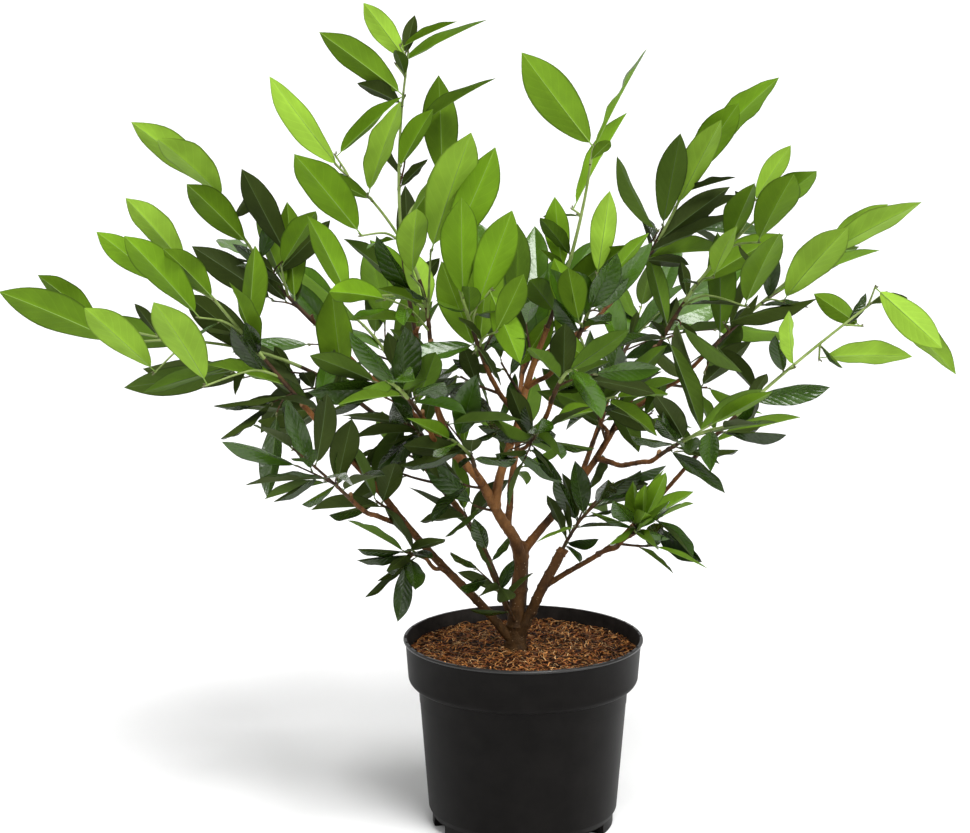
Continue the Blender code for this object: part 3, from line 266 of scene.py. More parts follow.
# %% Leaf skin group
WRINKLE_SCALE = 210.0
LEAF_CLOUD_SCALE = 34.0
LEAF_CLOUD_GAIN, LEAF_CLOUD_LESS = 1.4, 0.55
RIB_FULL, RIB_GONE, RIB_PALE = 0.02, 0.10, 0.40
VEIN_GONE, VEIN_PALE = 0.30, 0.20
# painted shade along the edge of a leaf: where it starts and how much it darkens
EDGE_SHADE_FROM = 0.44
EDGE_PAINTED_SHADE = 0.60


def skin_group():
    """Colour and relief of one side of a leaf, from its own map."""
    tree, given = new_tree("leaf_skin", "ShaderNodeTree", (
        ("Green", "Color"),
        ("Pale", "Color"),
        ("Veins", "Float", 14.0),
        ("Slant", "Float", 0.4),
        ("Quilt", "Float", 0.3),
        ("Crinkle", "Float", 0.5),
    ), COLOUR_AND_HEIGHT)
    leaf_map = node(tree, "ShaderNodeUVMap", uv_map="leaf_map").outputs[0]
    across = node(tree, "ShaderNodeSeparateXYZ", {0: leaf_map}).outputs
    from_rib = calculate(tree, "ABSOLUTE", calculate(tree, "SUBTRACT", across["X"], 0.5))
    # the veins lean toward the tip, and the skin swells like a row of pillows between them
    lag = calculate(tree, "MULTIPLY", from_rib, given["Slant"])
    turns = calculate(tree, "MULTIPLY", calculate(tree, "SUBTRACT", across["Y"], lag), given["Veins"])
    swing = calculate(tree, "SINE", calculate(tree, "MULTIPLY", turns, math.pi))
    pillow = calculate(tree, "ABSOLUTE", swing)
    place = place_of(tree)
    fine = {"Vector": place, "Scale": WRINKLE_SCALE, "Detail": 2.0, "Distortion": 0.8}
    wrinkle = node(tree, "ShaderNodeTexNoise", fine).outputs["Fac"]
    broad = {"Vector": place, "Scale": LEAF_CLOUD_SCALE, "Detail": 2.0}
    cloud = node(tree, "ShaderNodeTexNoise", broad).outputs["Fac"]
    quilt = calculate(tree, "MULTIPLY", pillow, given["Quilt"])
    height = calculate(tree, "MULTIPLY_ADD", wrinkle, given["Crinkle"], quilt)
    # pale by the rib and the veins and in soft clouds, and darker at the edge as painted shade
    near_rib = rescale(tree, from_rib, RIB_FULL, RIB_GONE, 1.0, 0.0)
    near_vein = rescale(tree, pillow, 0.0, VEIN_GONE, 1.0, 0.0)
    rib = calculate(tree, "MULTIPLY", near_rib, RIB_PALE)
    vein = calculate(tree, "MULTIPLY_ADD", near_vein, VEIN_PALE, rib)
    strong = calculate(tree, "MULTIPLY", cloud, LEAF_CLOUD_GAIN)
    clouds = calculate(tree, "MAXIMUM", calculate(tree, "SUBTRACT", strong, LEAF_CLOUD_LESS), 0.0)
    paleness = calculate(tree, "ADD", vein, clouds)
    mixed = mix_colours(tree, calculate(tree, "MINIMUM", paleness, 1.0), given["Green"], given["Pale"])
    # painted shade: the colour is darkened toward the leaf's edge
    edge = rescale(tree, from_rib, 0.50, EDGE_SHADE_FROM, 1.0, 0.0)
    darker = calculate(tree, "MULTIPLY_ADD", edge, -EDGE_PAINTED_SHADE, 1.0)
    edge_shaded = node(tree, "ShaderNodeVectorMath", {0: mixed, "Scale": darker}, operation="SCALE")
    node(tree, "NodeGroupOutput", {"Colour": edge_shaded.outputs[0], "Height": height})
    return tree


leaf_skin = skin_group()
print("group", leaf_skin.name, "with", len(leaf_skin.interface.items_tree), "sockets")


# %% Finishes that use the groups
def feed(material, socket, output):
    """Link an output to a socket of the material's own shader."""
    tree = material.node_tree
    tree.links.new(output, tree.nodes["Principled BSDF"].inputs[socket])


def relief(material, height, distance, strength):
    """Let a height drive the material's normal through a Bump node."""
    bump = {"Height": height, "Distance": distance, "Strength": strength}
    feed(material, "Normal", node(material.node_tree, "ShaderNodeBump", bump).outputs["Normal"])


def clouds_in(material, scale, first, second, stretch=(1.0, 1.0, 1.0), low=0.35, high=0.65):
    """Place the cloudy group in a material with its own values."""
    values = {"Scale": scale, "Stretch": stretch, "Low": low, "High": high}
    colours = {"First colour": (*first, 1.0), "Second colour": (*second, 1.0)}
    return node(material.node_tree, "ShaderNodeGroup", {**values, **colours}, node_tree=cloudy).outputs


def clouded(material, *values, **more):
    """Colour a material by the cloudy group and return the group's outputs."""
    cloud = clouds_in(material, *values, **more)
    feed(material, "Base Color", cloud["Colour"])
    return cloud

# %% [markdown]
# ## The pot
# A nursery pot is moulded in one shot from black plastic: a thin wall, a wide band under
# a narrow lip, a faint step just below the band, and a foot with drain notches. A round
# thing is best made by turning its profile. The outer skin is turned and notched, the
# inside is turned a wall's thickness smaller, and one is cut from the other.

# %% Pot sizes from the frame
pot_low, pot_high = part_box("pot")
POT_HEIGHT = pot_high.z
RIM_RADIUS = (pot_high.x - pot_low.x) / 2.0
POT_WALL = 0.0018
POT_SIDES = 128
RIM_BEAD = 0.0030
BEAD_CORNER = 0.0010
LIP_CORNER = 0.0012
BAND_TOP_RADIUS = RIM_RADIUS - 0.0020
BAND_LOW_RADIUS = RIM_RADIUS - 0.0045
BAND_BOTTOM = 0.1370
BAND_ROUNDING = 0.0080
BODY_TOP_RADIUS = 0.0988
BODY_LOW_RADIUS = 0.0895
BODY_LOW = 0.0170
FOOT_RADIUS = 0.0860
FOOT_CORNER = 0.0012
STEP_BELOW_BAND = 0.0170
STEP_SIZE = 0.0004
NOTCH_HEIGHT = 0.0094
NOTCH_DEPTH = 0.0130
NOTCH_WIDTH_DEG = 18.0
NOTCH_MIDDLES_DEG = (-38.0, 82.0, 202.0)
print("pot", round(2000 * RIM_RADIUS), "mm across,", round(1000 * POT_HEIGHT), "mm high")


# %% Turned shapes
def circle(sides):
    """Angles of the points of a ring."""
    return [FULL_TURN * step / sides for step in range(sides)]


def arc(radius, height, size, start_deg, end_deg, steps):
    """Rounded corner of a profile, as (radius, height) points."""
    points = []
    for step in range(steps + 1):
        angle = math.radians(start_deg + (end_deg - start_deg) * step / steps)
        points.append((radius + size * math.cos(angle), height + size * math.sin(angle)))
    return points


def turned(name, profile, materials, sides=POT_SIDES):
    """Turn a profile that starts and ends on the upright axis."""
    points = []
    rings = []
    for radius, height in profile:
        angles = circle(sides)[: 1 if radius < 1e-6 else sides]
        rings.append(list(range(len(points), len(points) + len(angles))))
        points += [(radius * math.cos(angle), radius * math.sin(angle), height) for angle in angles]
    faces = []
    for low, high in zip(rings, rings[1:]):
        for step in range(sides):
            after = (step + 1) % sides
            near = (low[step % len(low)], low[after % len(low)])
            far = (high[after % len(high)], high[step % len(high)])
            faces.append(tuple(dict.fromkeys(near + far)))
    return keep(name, points, faces, materials)


def outward(piece):
    """Turn every face to look out."""
    shape = bmesh.new()
    shape.from_mesh(piece.data)
    bmesh.ops.recalc_face_normals(shape, faces=shape.faces)
    shape.to_mesh(piece.data)
    shape.free()


def notch_block(middle_deg, grow):
    """A curved block that cuts one drain notch up into the foot."""
    half_width = math.radians(NOTCH_WIDTH_DEG / 2.0) + grow / FOOT_RADIUS
    points = []
    for height in (-0.010, NOTCH_HEIGHT + grow):
        for radius in (FOOT_RADIUS - NOTCH_DEPTH - grow, RIM_RADIUS):
            for way in (-1.0, 1.0):
                angle = math.radians(middle_deg) + way * half_width
                points.append((radius * math.cos(angle), radius * math.sin(angle), height))
    faces = [(0, 1, 3, 2), (4, 6, 7, 5), (0, 4, 5, 1), (2, 3, 7, 6), (0, 2, 6, 4), (1, 5, 7, 3)]
    block = keep("notch", points, faces)
    outward(block)
    return block


def settled(piece):
    """The evaluated shape of an object as a plain mesh; its modifiers are dropped."""
    mesh = bpy.data.meshes.new_from_object(piece.evaluated_get(bpy.context.evaluated_depsgraph_get()))
    piece.modifiers.clear()
    return mesh


def cut_away(piece, cutter):
    """Cut one shape from another for good, and throw the cutter away."""
    cut = piece.modifiers.new("cut", "BOOLEAN")
    cut.operation = "DIFFERENCE"
    cut.solver = "EXACT"
    cut.object = cutter
    piece.data = settled(piece)
    bpy.data.objects.remove(cutter, do_unlink=True)


def smooth(piece, sharp_deg):
    """Shade a piece smooth but for edges sharper than an angle."""
    piece.data.shade_smooth()
    piece.data.set_sharp_from_angle(angle=math.radians(sharp_deg))


# %% Pot skin and hollow
def skin_profile():
    """Outside of the pot, from the middle of its underside over the lip."""
    step_height = BAND_BOTTOM - STEP_BELOW_BAND
    lean = (BODY_TOP_RADIUS - BODY_LOW_RADIUS) / (BAND_BOTTOM - BODY_LOW)
    step_radius = BODY_LOW_RADIUS + lean * (step_height - BODY_LOW)
    bead_bottom = POT_HEIGHT - RIM_BEAD
    return [
        (0.0, 0.0),
        *arc(FOOT_RADIUS - FOOT_CORNER, FOOT_CORNER, FOOT_CORNER, -90.0, 0.0, 4),
        (FOOT_RADIUS, NOTCH_HEIGHT + 0.0006),
        (FOOT_RADIUS + 0.0006, NOTCH_HEIGHT + 0.0020),
        (BODY_LOW_RADIUS - 0.0006, BODY_LOW - 0.0016),
        (BODY_LOW_RADIUS, BODY_LOW),
        (step_radius, step_height - 0.0006),
        (step_radius + STEP_SIZE, step_height),
        (BODY_TOP_RADIUS, BAND_BOTTOM - 0.0008),
        (BODY_TOP_RADIUS + 0.0008, BAND_BOTTOM),
        *arc(BAND_LOW_RADIUS - BAND_ROUNDING, BAND_BOTTOM + BAND_ROUNDING, BAND_ROUNDING, -80.0, 0.0, 10),
        (BAND_TOP_RADIUS, bead_bottom - 0.0004),
        (BAND_TOP_RADIUS + 0.0006, bead_bottom + 0.0002),
        *arc(RIM_RADIUS - BEAD_CORNER, bead_bottom + 0.0014, BEAD_CORNER, -70.0, 0.0, 4),
        *arc(RIM_RADIUS - LIP_CORNER, POT_HEIGHT - LIP_CORNER, LIP_CORNER, 0.0, 90.0, 5),
        (0.0, POT_HEIGHT),
    ]


def hollow_profile():
    """Inside of the pot, a wall's thickness in, past the mouth."""
    return [
        (0.0, POT_WALL),
        (FOOT_RADIUS - POT_WALL, POT_WALL),
        (FOOT_RADIUS - POT_WALL, NOTCH_HEIGHT + 0.0010),
        (BODY_LOW_RADIUS - POT_WALL, BODY_LOW),
        (BODY_TOP_RADIUS - POT_WALL, BAND_BOTTOM + 0.0010),
        (BAND_LOW_RADIUS - POT_WALL, BAND_BOTTOM + BAND_ROUNDING),
        (BAND_TOP_RADIUS - POT_WALL, POT_HEIGHT - 0.0010),
        (BAND_TOP_RADIUS - POT_WALL + 0.0010, POT_HEIGHT + 0.0004),
        (0.0, POT_HEIGHT + 0.0004),
    ]


# %% Make the pot
# The plastic is matt and nearly black. The inside is painted lighter as painted light from
# above and off the soil; the rim is a little glossier, with a painted highlight in its colour.
POT_CREASE_DEG = 42.0


def make_pot():
    """Turn the pot, notch its foot, hollow it and share out its finishes."""
    plastic = finish("black_plastic", (0.0058, 0.0052, 0.0048), 0.46, shine=0.05)
    cloud = clouded(plastic, 38.0, (0.0048, 0.0043, 0.0040), (0.0072, 0.0064, 0.0060))
    relief(plastic, cloud["Height"], 0.0004, 0.35)
    # the rim is glossier, and its colour is painted lighter as a painted highlight along the lip
    rim_highlight = finish("worn_rim", (0.0090, 0.0082, 0.0078), 0.30, shine=0.50)
    # painted light: the inside wall is coloured lighter for the light from above and off the soil
    inside_light = finish("dusty_plastic", (0.0180, 0.0150, 0.0135), 0.6, shine=0.08)
    clouded(inside_light, 60.0, (0.0110, 0.0090, 0.0080), (0.0260, 0.0215, 0.0190))
    pot = turned("pot_moulding", skin_profile(), [plastic, inside_light, rim_highlight])
    hollow = turned("hollow", hollow_profile(), [plastic])
    for middle in NOTCH_MIDDLES_DEG:
        cut_away(hollow, notch_block(middle, POT_WALL))
        cut_away(pot, notch_block(middle, 0.0))
    cut_away(pot, hollow)
    for face in pot.data.polygons:
        inward = face.normal.x * face.center.x + face.normal.y * face.center.y < 0.0
        on_rim = not inward and face.center.z > POT_HEIGHT - RIM_BEAD
        on_inside = inward and face.center.z > BAND_BOTTOM
        face.material_index = 2 if on_rim else 1 if on_inside else 0
    smooth(pot, POT_CREASE_DEG)
    return pot


pot = make_pot()
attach(pot, "root")
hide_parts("pot")
print("pot", triangles(pot), "triangles")

# %% [markdown]
# ## The soil
# The pot is topped with shredded coir: thousands of short, curled, orange-brown fibres
# with darker crumbs between them, which catch the light in small glints. The packed
# soil stays below as the dark ground. Geometry Nodes strew five kinds of scrap on a
# lumpy bed, each kind with its own size, thickness and colour, all from fixed seeds.

# %% Bed of soil
SOIL_EDGE = 0.1650
SOIL_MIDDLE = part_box("soil")[1].z
SOIL_FLAT_RADIUS = 0.0400
WALL_GAP = 0.0004
BED_ABOVE_SOIL = 0.0006
BED_RINGS = 30
BED_SIDES = 90
BED_LUMP = 0.0016
BROAD_LUMPS = 55.0
FINE_LUMPS = 160.0


def ring_faces(rings, sides, first=0, inward=False):
    """Faces of the skin between rings of points that follow each other."""
    faces = []
    for low in range(first, first + (rings - 1) * sides, sides):
        for step in range(sides):
            after = (step + 1) % sides
            near, far = (low + step, low + after), (low + sides + after, low + sides + step)
            faces.append((near[0], far[1], far[0], near[1]) if inward else near + far)
    return faces


def soil_wall(height):
    """Inner radius of the pot's band at a height, less a hair."""
    low = BAND_BOTTOM + BAND_ROUNDING
    share = (height - low) / (POT_HEIGHT - low)
    return BAND_LOW_RADIUS + (BAND_TOP_RADIUS - BAND_LOW_RADIUS) * share - POT_WALL - WALL_GAP


def bed_point(radius, angle):
    """A point of the soil's top, which is higher round the trunk and lumpy."""
    x, y = radius * math.cos(angle), radius * math.sin(angle)
    wall = soil_wall(SOIL_EDGE)
    share = min(1.0, max(0.0, (wall - math.hypot(x, y)) / (wall - SOIL_FLAT_RADIUS)))
    lump = noise.noise(Vector((x, y, 0.0)) * BROAD_LUMPS)
    lump += 0.6 * noise.noise(Vector((x, y, 0.3)) * FINE_LUMPS)
    return x, y, SOIL_EDGE + (SOIL_MIDDLE - SOIL_EDGE) * share + BED_ABOVE_SOIL + BED_LUMP * (0.5 + lump)


def make_bed(materials):
    """The lumpy top of the soil, ring by ring from its middle."""
    points = [bed_point(0.0, 0.0)]
    for ring in range(1, BED_RINGS + 1):
        radius = soil_wall(SOIL_EDGE) * ring / BED_RINGS
        points += [bed_point(radius, angle) for angle in circle(BED_SIDES)]
    faces = [(0, 1 + step, 1 + (step + 1) % BED_SIDES) for step in range(BED_SIDES)]
    return keep("coir_litter", points, faces + ring_faces(BED_RINGS, BED_SIDES, 1, True), materials)


# %% Scraps of coir
# kind, length, thickness, curl, steps, how many per square metre, colour, seed
SCRAPS = (
    ("golden_fibre", 0.0100, 0.00056, 0.0022, 3, 34000.0, (0.780, 0.330, 0.090), 1),
    ("rust_fibre", 0.0095, 0.00064, 0.0016, 3, 46000.0, (0.360, 0.110, 0.028), 2),
    ("umber_flake", 0.0070, 0.00120, 0.0006, 2, 48000.0, (0.095, 0.028, 0.008), 3),
    ("straw_fibre", 0.0130, 0.00042, 0.0028, 3, 10000.0, (0.900, 0.540, 0.240), 4),
    ("dark_crumb", 0.0044, 0.00170, 0.0002, 2, 44000.0, (0.012, 0.005, 0.002), 5),
)
SCRAP_SIZES = (0.55, 1.25)
FIBRE_TILT = 0.48
FIBRE_ENDS, FIBRE_BODY = 0.35, 0.65
FIBRE_FROM, FIBRE_SPAN = 0.08, 0.84
FIBRE_FLATNESS = 0.6
FIBRE_BENDS = 4.0
CLUMP_SCALE = 170.0
CLUMP_SHADE = 0.12


def strand(name, length, thick, curl, steps):
    """A three-sided curled fibre that lies along X and bows upward."""
    points = []
    for step in range(steps + 1):
        share = step / steps
        body = math.sin(math.pi * (FIBRE_FROM + FIBRE_SPAN * share))
        slim = thick * (FIBRE_ENDS + FIBRE_BODY * body)
        sideways, upward = curl * math.sin(share * FIBRE_BENDS), curl * math.sin(math.pi * share)
        centre = Vector(((share - 0.5) * length, sideways, upward))
        for angle in (corner + 0.5 for corner in circle(3)):
            y, z = math.cos(angle) * slim, math.sin(angle) * slim * FIBRE_FLATNESS
            points.append(centre + Vector((0.0, y, z)))
    ends = [(0, 2, 1), (steps * 3, steps * 3 + 1, steps * 3 + 2)]
    piece = keep(name, points, ends + ring_faces(steps + 1, 3))
    outward(piece)
    return piece


# %% Strewing with Geometry Nodes
GEOMETRY = "GeometryNodeTree"


def strewn(tree, surface, shape, density, seeds, sizes, material, turn=None):
    """Strew copies of a shape over a surface, make them real and give them a finish."""
    spread = {"Mesh": surface, "Density": density, "Seed": seeds[0]}
    spots = node(tree, "GeometryNodeDistributePointsOnFaces", spread).outputs
    chance = {2: sizes[0], 3: sizes[1], "Seed": seeds[1]}
    laid = node(tree, "GeometryNodeInstanceOnPoints", {
        "Points": spots["Points"],
        "Instance": node(tree, "GeometryNodeObjectInfo", {"Object": shape}).outputs["Geometry"],
        "Rotation": spots["Rotation"] if turn is None else turn,
        "Scale": node(tree, "FunctionNodeRandomValue", chance, data_type="FLOAT").outputs[1],
    })
    return painted(tree, laid.outputs[0], material)


def painted(tree, geometry, material):
    """The last two steps of every tree: realize what is there and set its finish."""
    real = node(tree, "GeometryNodeRealizeInstances", {0: geometry}).outputs[0]
    return node(tree, "GeometryNodeSetMaterial", {"Geometry": real, "Material": material}).outputs[0]


def litter_tree():
    """Strew every kind of scrap over a bed, each kind with a finish of its own."""
    inputs = (("Bed", "Geometry"), ("Amount", "Float", 1.0), ("Tilt", "Float", 0.4))
    tree, given = new_tree("strew_litter", GEOMETRY, inputs, (("Litter", "Geometry"),))
    joined = node(tree, "GeometryNodeJoinGeometry", {0: given["Bed"]})
    down = calculate(tree, "MULTIPLY", given["Tilt"], -1.0)
    low = node(tree, "ShaderNodeCombineXYZ", {0: down, 1: down}).outputs[0]
    high = node(tree, "ShaderNodeCombineXYZ", {0: given["Tilt"], 1: given["Tilt"], 2: FULL_TURN}).outputs[0]
    for name, length, thick, curl, steps, density, colour, seed in SCRAPS:
        shape = strand(name, length, thick, curl, steps)
        tilt = {"Min": low, "Max": high, "Seed": seed + 20}
        angle = node(tree, "FunctionNodeRandomValue", tilt, data_type="FLOAT_VECTOR").outputs[0]
        turn = node(tree, "FunctionNodeEulerToRotation", {0: angle}).outputs[0]
        material = finish(name, colour, 0.65, shine=0.25)
        shade = tuple(part * CLUMP_SHADE for part in colour)
        clouded(material, CLUMP_SCALE, shade, colour, low=0.40, high=0.60)
        amount = calculate(tree, "MULTIPLY", given["Amount"], density)
        seeds = (seed, seed + 40)
        scraps = strewn(tree, given["Bed"], shape, amount, seeds, SCRAP_SIZES, material, turn)
        tree.links.new(scraps, joined.inputs[0])
    node(tree, "NodeGroupOutput", {0: joined.outputs[0]})
    return tree


def grown_mesh(piece, tree, **values):
    """Run a Geometry Nodes tree on an object and return the result as a plain mesh."""
    grower = piece.modifiers.new("grow", "NODES")
    grower.node_group = tree
    names = {item.name: item.identifier for item in tree.interface.items_tree}
    for name, value in values.items():
        grower[names[name]] = value
    return settled(piece)


# %% Make the litter
def make_litter():
    """The bed with its scraps, pulled in where they would pass the wall."""
    ground = finish("dark_soil", (0.030, 0.012, 0.006), 0.9, shine=0.15)
    cloud = clouded(ground, 420.0, (0.007, 0.003, 0.002), (0.070, 0.026, 0.009))
    relief(ground, cloud["Height"], 0.0012, 0.9)
    litter = make_bed([ground])
    litter.data = grown_mesh(litter, litter_tree(), Amount=1.0, Tilt=FIBRE_TILT)
    for name, *_ in SCRAPS:
        bpy.data.objects.remove(bpy.data.objects[name], do_unlink=True)
    for vertex in litter.data.vertices:
        radius = math.hypot(vertex.co.x, vertex.co.y)
        limit = soil_wall(min(vertex.co.z, POT_HEIGHT))
        if radius > limit:
            vertex.co.x *= limit / radius
            vertex.co.y *= limit / radius
    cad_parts["soil"].data.materials.clear()
    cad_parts["soil"].data.materials.append(ground)
    return litter


litter = make_litter()
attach(litter, "root")
print("litter", triangles(litter), "triangles")

# %% [markdown]
# ## Trunk and boughs
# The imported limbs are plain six-sided tubes. Here the same lines are drawn again, from
# the same named places, and skinned finely: a flared foot with ridges, a swollen collar
# where a bough leaves its parent, ringed leaf scars, knots and a cut stub. The lines
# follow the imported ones, so leaves that grow from them stay where the frame has them.

# %% Limb sizes
GAP = 0.0003
TRUNK_FOOT = (-0.0070, 0.0000)
TRUNK_TOP = (-0.0010, 0.0000, 0.2720)
TRUNK_FOOT_RADIUS = 0.0092
TRUNK_TOP_RADIUS = 0.0066
TRUNK_FLARE = 0.0036
TRUNK_FLARE_ENDS = 14.0
TRUNK_BEND = 0.0080
LIMB_SIDES = 6
LIMB_STEPS = 6
LIMB_SWAY = 0.0016
LIMB_SWAY_RATE = 11.0
LIMB_TAPER = 0.8
LIMB_SEED = 300
ANY_ANGLE = (0.0, 6.28)

# name, limb it leaves, how far along, and in millimetres its tip, the bow of its middle and
# its radius at the root and at the tip
BOUGHS = (
    ("bough_left_main", "trunk", 0.90, (-74, -70, 386), (7, 4, 0), 5.5, 3.8),
    ("bough_centre", "bough_left_main", 0.44, (20, -55, 484), (-4, -4, -4), 4.6, 2.4),
    ("bough_right_main", "trunk", 0.94, (125, 40, 449), (6, -4, -6), 4.0, 2.4),
    ("stem_left_low", "trunk", 0.10, (-201, -40, 411), (-4, -6, 4), 4.6, 2.4),
    ("stem_left_second", "trunk", 0.34, (-140, 30, 389), (10, 12, 12), 3.6, 2.6),
    ("stem_right_low", "trunk", 0.14, (35, -20, 269), (0, -2, 2), 5.0, 4.6),
    ("bough_right_long", "stem_right_low", 0.60, (148, -60, 360), (4, -2, -10), 2.8, 1.8),
    ("bough_left_upper", "bough_left_main", 0.92, (-200, 50, 476), (2, 18, -8), 2.8, 2.0),
    ("bough_left_rising", "bough_left_main", 0.96, (-85, -60, 471), (-2, -4, 0), 2.9, 2.2),
    ("bough_centre_rising", "bough_left_main", 0.74, (-101, 20, 470), (-6, 12, -6), 2.9, 2.2),
    ("bough_centre_front", "bough_centre", 0.55, (-37, -100, 462), (-2, -6, -4), 2.6, 2.0),
    ("bough_right_upper", "bough_centre", 0.84, (104, 30, 523), (4, 6, -8), 2.3, 1.8),
    ("bough_right_inner", "bough_centre", 0.70, (46, -85, 480), (4, -4, -4), 2.4, 1.8),
    ("bough_right_side", "bough_right_main", 0.72, (172, 60, 440), (4, 2, -4), 2.4, 1.8),
    ("bough_back", "bough_left_main", 0.26, (2, 130, 420), (0, 0, -10), 3.4, 2.2),
    ("bough_back_left", "stem_left_second", 0.55, (-120, 150, 400), (0, 4, -6), 2.6, 2.0),
    ("bough_back_right", "bough_right_main", 0.36, (95, 160, 410), (0, 4, -6), 2.7, 2.0),
    ("bough_front_left", "stem_left_low", 0.52, (-155, -130, 345), (0, -4, -6), 2.6, 2.0),
    ("bough_front_right", "bough_right_main", 0.50, (120, -90, 375), (4, -6, -6), 2.6, 2.0),
    ("bough_front_high_left", "bough_left_main", 0.84, (-92, -135, 420), (0, -4, -6), 2.6, 2.0),
    ("bough_front_high_right", "bough_centre", 0.40, (22, -125, 430), (4, -4, -6), 2.6, 2.0),
    ("bough_low_left", "stem_left_low", 0.30, (-94, -52, 272), (0, -2, -2), 2.2, 1.8),
    ("bough_low_right", "bough_right_long", 0.36, (96, -82, 300), (0, -2, -2), 2.2, 1.8),
    ("twig_inner_left", "stem_left_second", 0.66, (-92, -10, 370), (0, -2, -2), 2.2, 1.8),
    ("twig_inner_front", "bough_left_main", 0.62, (-46, -82, 365), (0, -2, -2), 2.2, 1.8),
    ("twig_inner_centre", "bough_centre", 0.28, (4, -85, 385), (0, -2, -2), 2.2, 1.8),
    ("twig_inner_right", "bough_right_main", 0.60, (70, 0, 395), (0, -2, -2), 2.2, 1.8),
    ("twig_outer_left", "stem_left_low", 0.80, (-185, 0, 390), (0, 2, -2), 2.2, 1.8),
)


# %% Limb lines
def metres(place):
    """A place that a table gives in millimetres."""
    return Vector([part / MM_PER_METRE for part in place])


def trunk_path():
    """Points and radii of the trunk, from its flat foot to the fork."""
    foot = Vector((*TRUNK_FOOT, SOIL_MIDDLE + GAP))
    top = Vector(TRUNK_TOP)
    path = []
    radii = []
    for step in range(LIMB_STEPS + 1):
        share = (step / LIMB_STEPS) ** 1.5
        centre = foot.lerp(top, share)
        centre.x = foot.x + (top.x - foot.x) * share * share + TRUNK_BEND * share * share * (1.0 - share)
        path.append(centre)
        taper = TRUNK_FOOT_RADIUS + (TRUNK_TOP_RADIUS - TRUNK_FOOT_RADIUS) * share
        radii.append(taper + TRUNK_FLARE * math.exp(-share * TRUNK_FLARE_ENDS))
    return path, radii


def stretch_at(line, share):
    """Number of the stretch that holds a place on a line, and how far along it that is."""
    place = share * (len(line) - 1)
    index = min(int(place), len(line) - 2)
    return index, place - index


def along(path, share):
    """Point and direction part of the way along a path."""
    index, part = stretch_at(path, share)
    return path[index].lerp(path[index + 1], part), (path[index + 1] - path[index]).normalized()


def thickness_at(radii, share):
    """Radius part of the way along a limb."""
    index, part = stretch_at(radii, share)
    return radii[index] + (radii[index + 1] - radii[index]) * part


def bough_path(root, tip, bow, seed):
    """A gently bowed line with a slight seeded sway."""
    dice = random.Random(seed)
    phase = dice.uniform(*ANY_ANGLE)
    run = (tip - root).normalized()
    sway = run.orthogonal().normalized()
    sway.rotate(Matrix.Rotation(dice.uniform(*ANY_ANGLE), 3, run))
    path = []
    for step in range(LIMB_STEPS + 1):
        share = step / LIMB_STEPS
        hump = 4.0 * share * (1.0 - share)
        wave = math.sin(phase + share * LIMB_SWAY_RATE) * LIMB_SWAY * min(1.0, hump * 2.0)
        path.append(root.lerp(tip, share) + bow * hump + sway * wave)
    return path


limbs = {"trunk": trunk_path()}
for number, (name, parent, where, tip, bow, root_mm, tip_mm) in enumerate(BOUGHS):
    root = along(limbs[parent][0], where)[0]
    path = bough_path(root, metres(tip), metres(bow), LIMB_SEED + number)
    thick, thin = root_mm / MM_PER_METRE, tip_mm / MM_PER_METRE
    tapers = [(step / LIMB_STEPS) ** LIMB_TAPER for step in range(LIMB_STEPS + 1)]
    limbs[name] = (path, [thick + (thin - thick) * taper for taper in tapers])
print("limbs", len(limbs))

# %% [markdown]
# A limb's skin is a ring of points carried along a smooth curve. Each ring's radius is
# the taper plus what grows there: noise stretched along the limb for the bark's shallow
# furrows, raised rings for old leaf scars at seeded places, and a collar at the root.

# %% Bark sizes
BARK_STEP = 0.0016
BARK_SIDES_TRUNK = 36
BARK_SIDES_BOUGH = 18
BARK_FURROW = 0.075
FURROWS_ROUND = 1.6
FURROWS_ALONG = 60.0
LUMPS_ALONG = 190.0
LUMP_SHARE = 0.7
SCAR_SPACING = 0.017
SCAR_RISE = 0.17
SCAR_WIDTH = 0.0013
SCARS_END = 0.004
SCAR_ALL_ROUND, SCAR_ONE_SIDED = 0.55, 0.45
COLLAR_RISE = 0.42
COLLAR_REACH = 1.9
FOOT_RIDGE = 0.13
FOOT_RIDGE_HEIGHT = 0.016
TIP_DOME = 0.35


# %% Bark skin
def smooth_point(path, share):
    """Point part of the way along the smooth curve through a path's points."""
    index, part = stretch_at(path, share)
    before = path[max(0, index - 1)]
    low = path[index]
    high = path[index + 1]
    after = path[min(len(path) - 1, index + 2)]
    bend = (2.0 * before - 5.0 * low + 4.0 * high - after) * part * part
    turn = (3.0 * (low - high) + after - before) * part ** 3
    return low + ((high - before) * part + bend + turn) * 0.5


def length_of(path):
    """Length of a path."""
    return sum((after - before).length for before, after in zip(path, path[1:]))


def square_to(run, across):
    """Turn a cross direction so that it is square to a run, and give its partner."""
    across = (across - run * across.dot(run)).normalized()
    return across, run.cross(across)


def spoke(across, other, angle):
    """Direction from the middle of a ring to its point at an angle."""
    return across * math.cos(angle) + other * math.sin(angle)


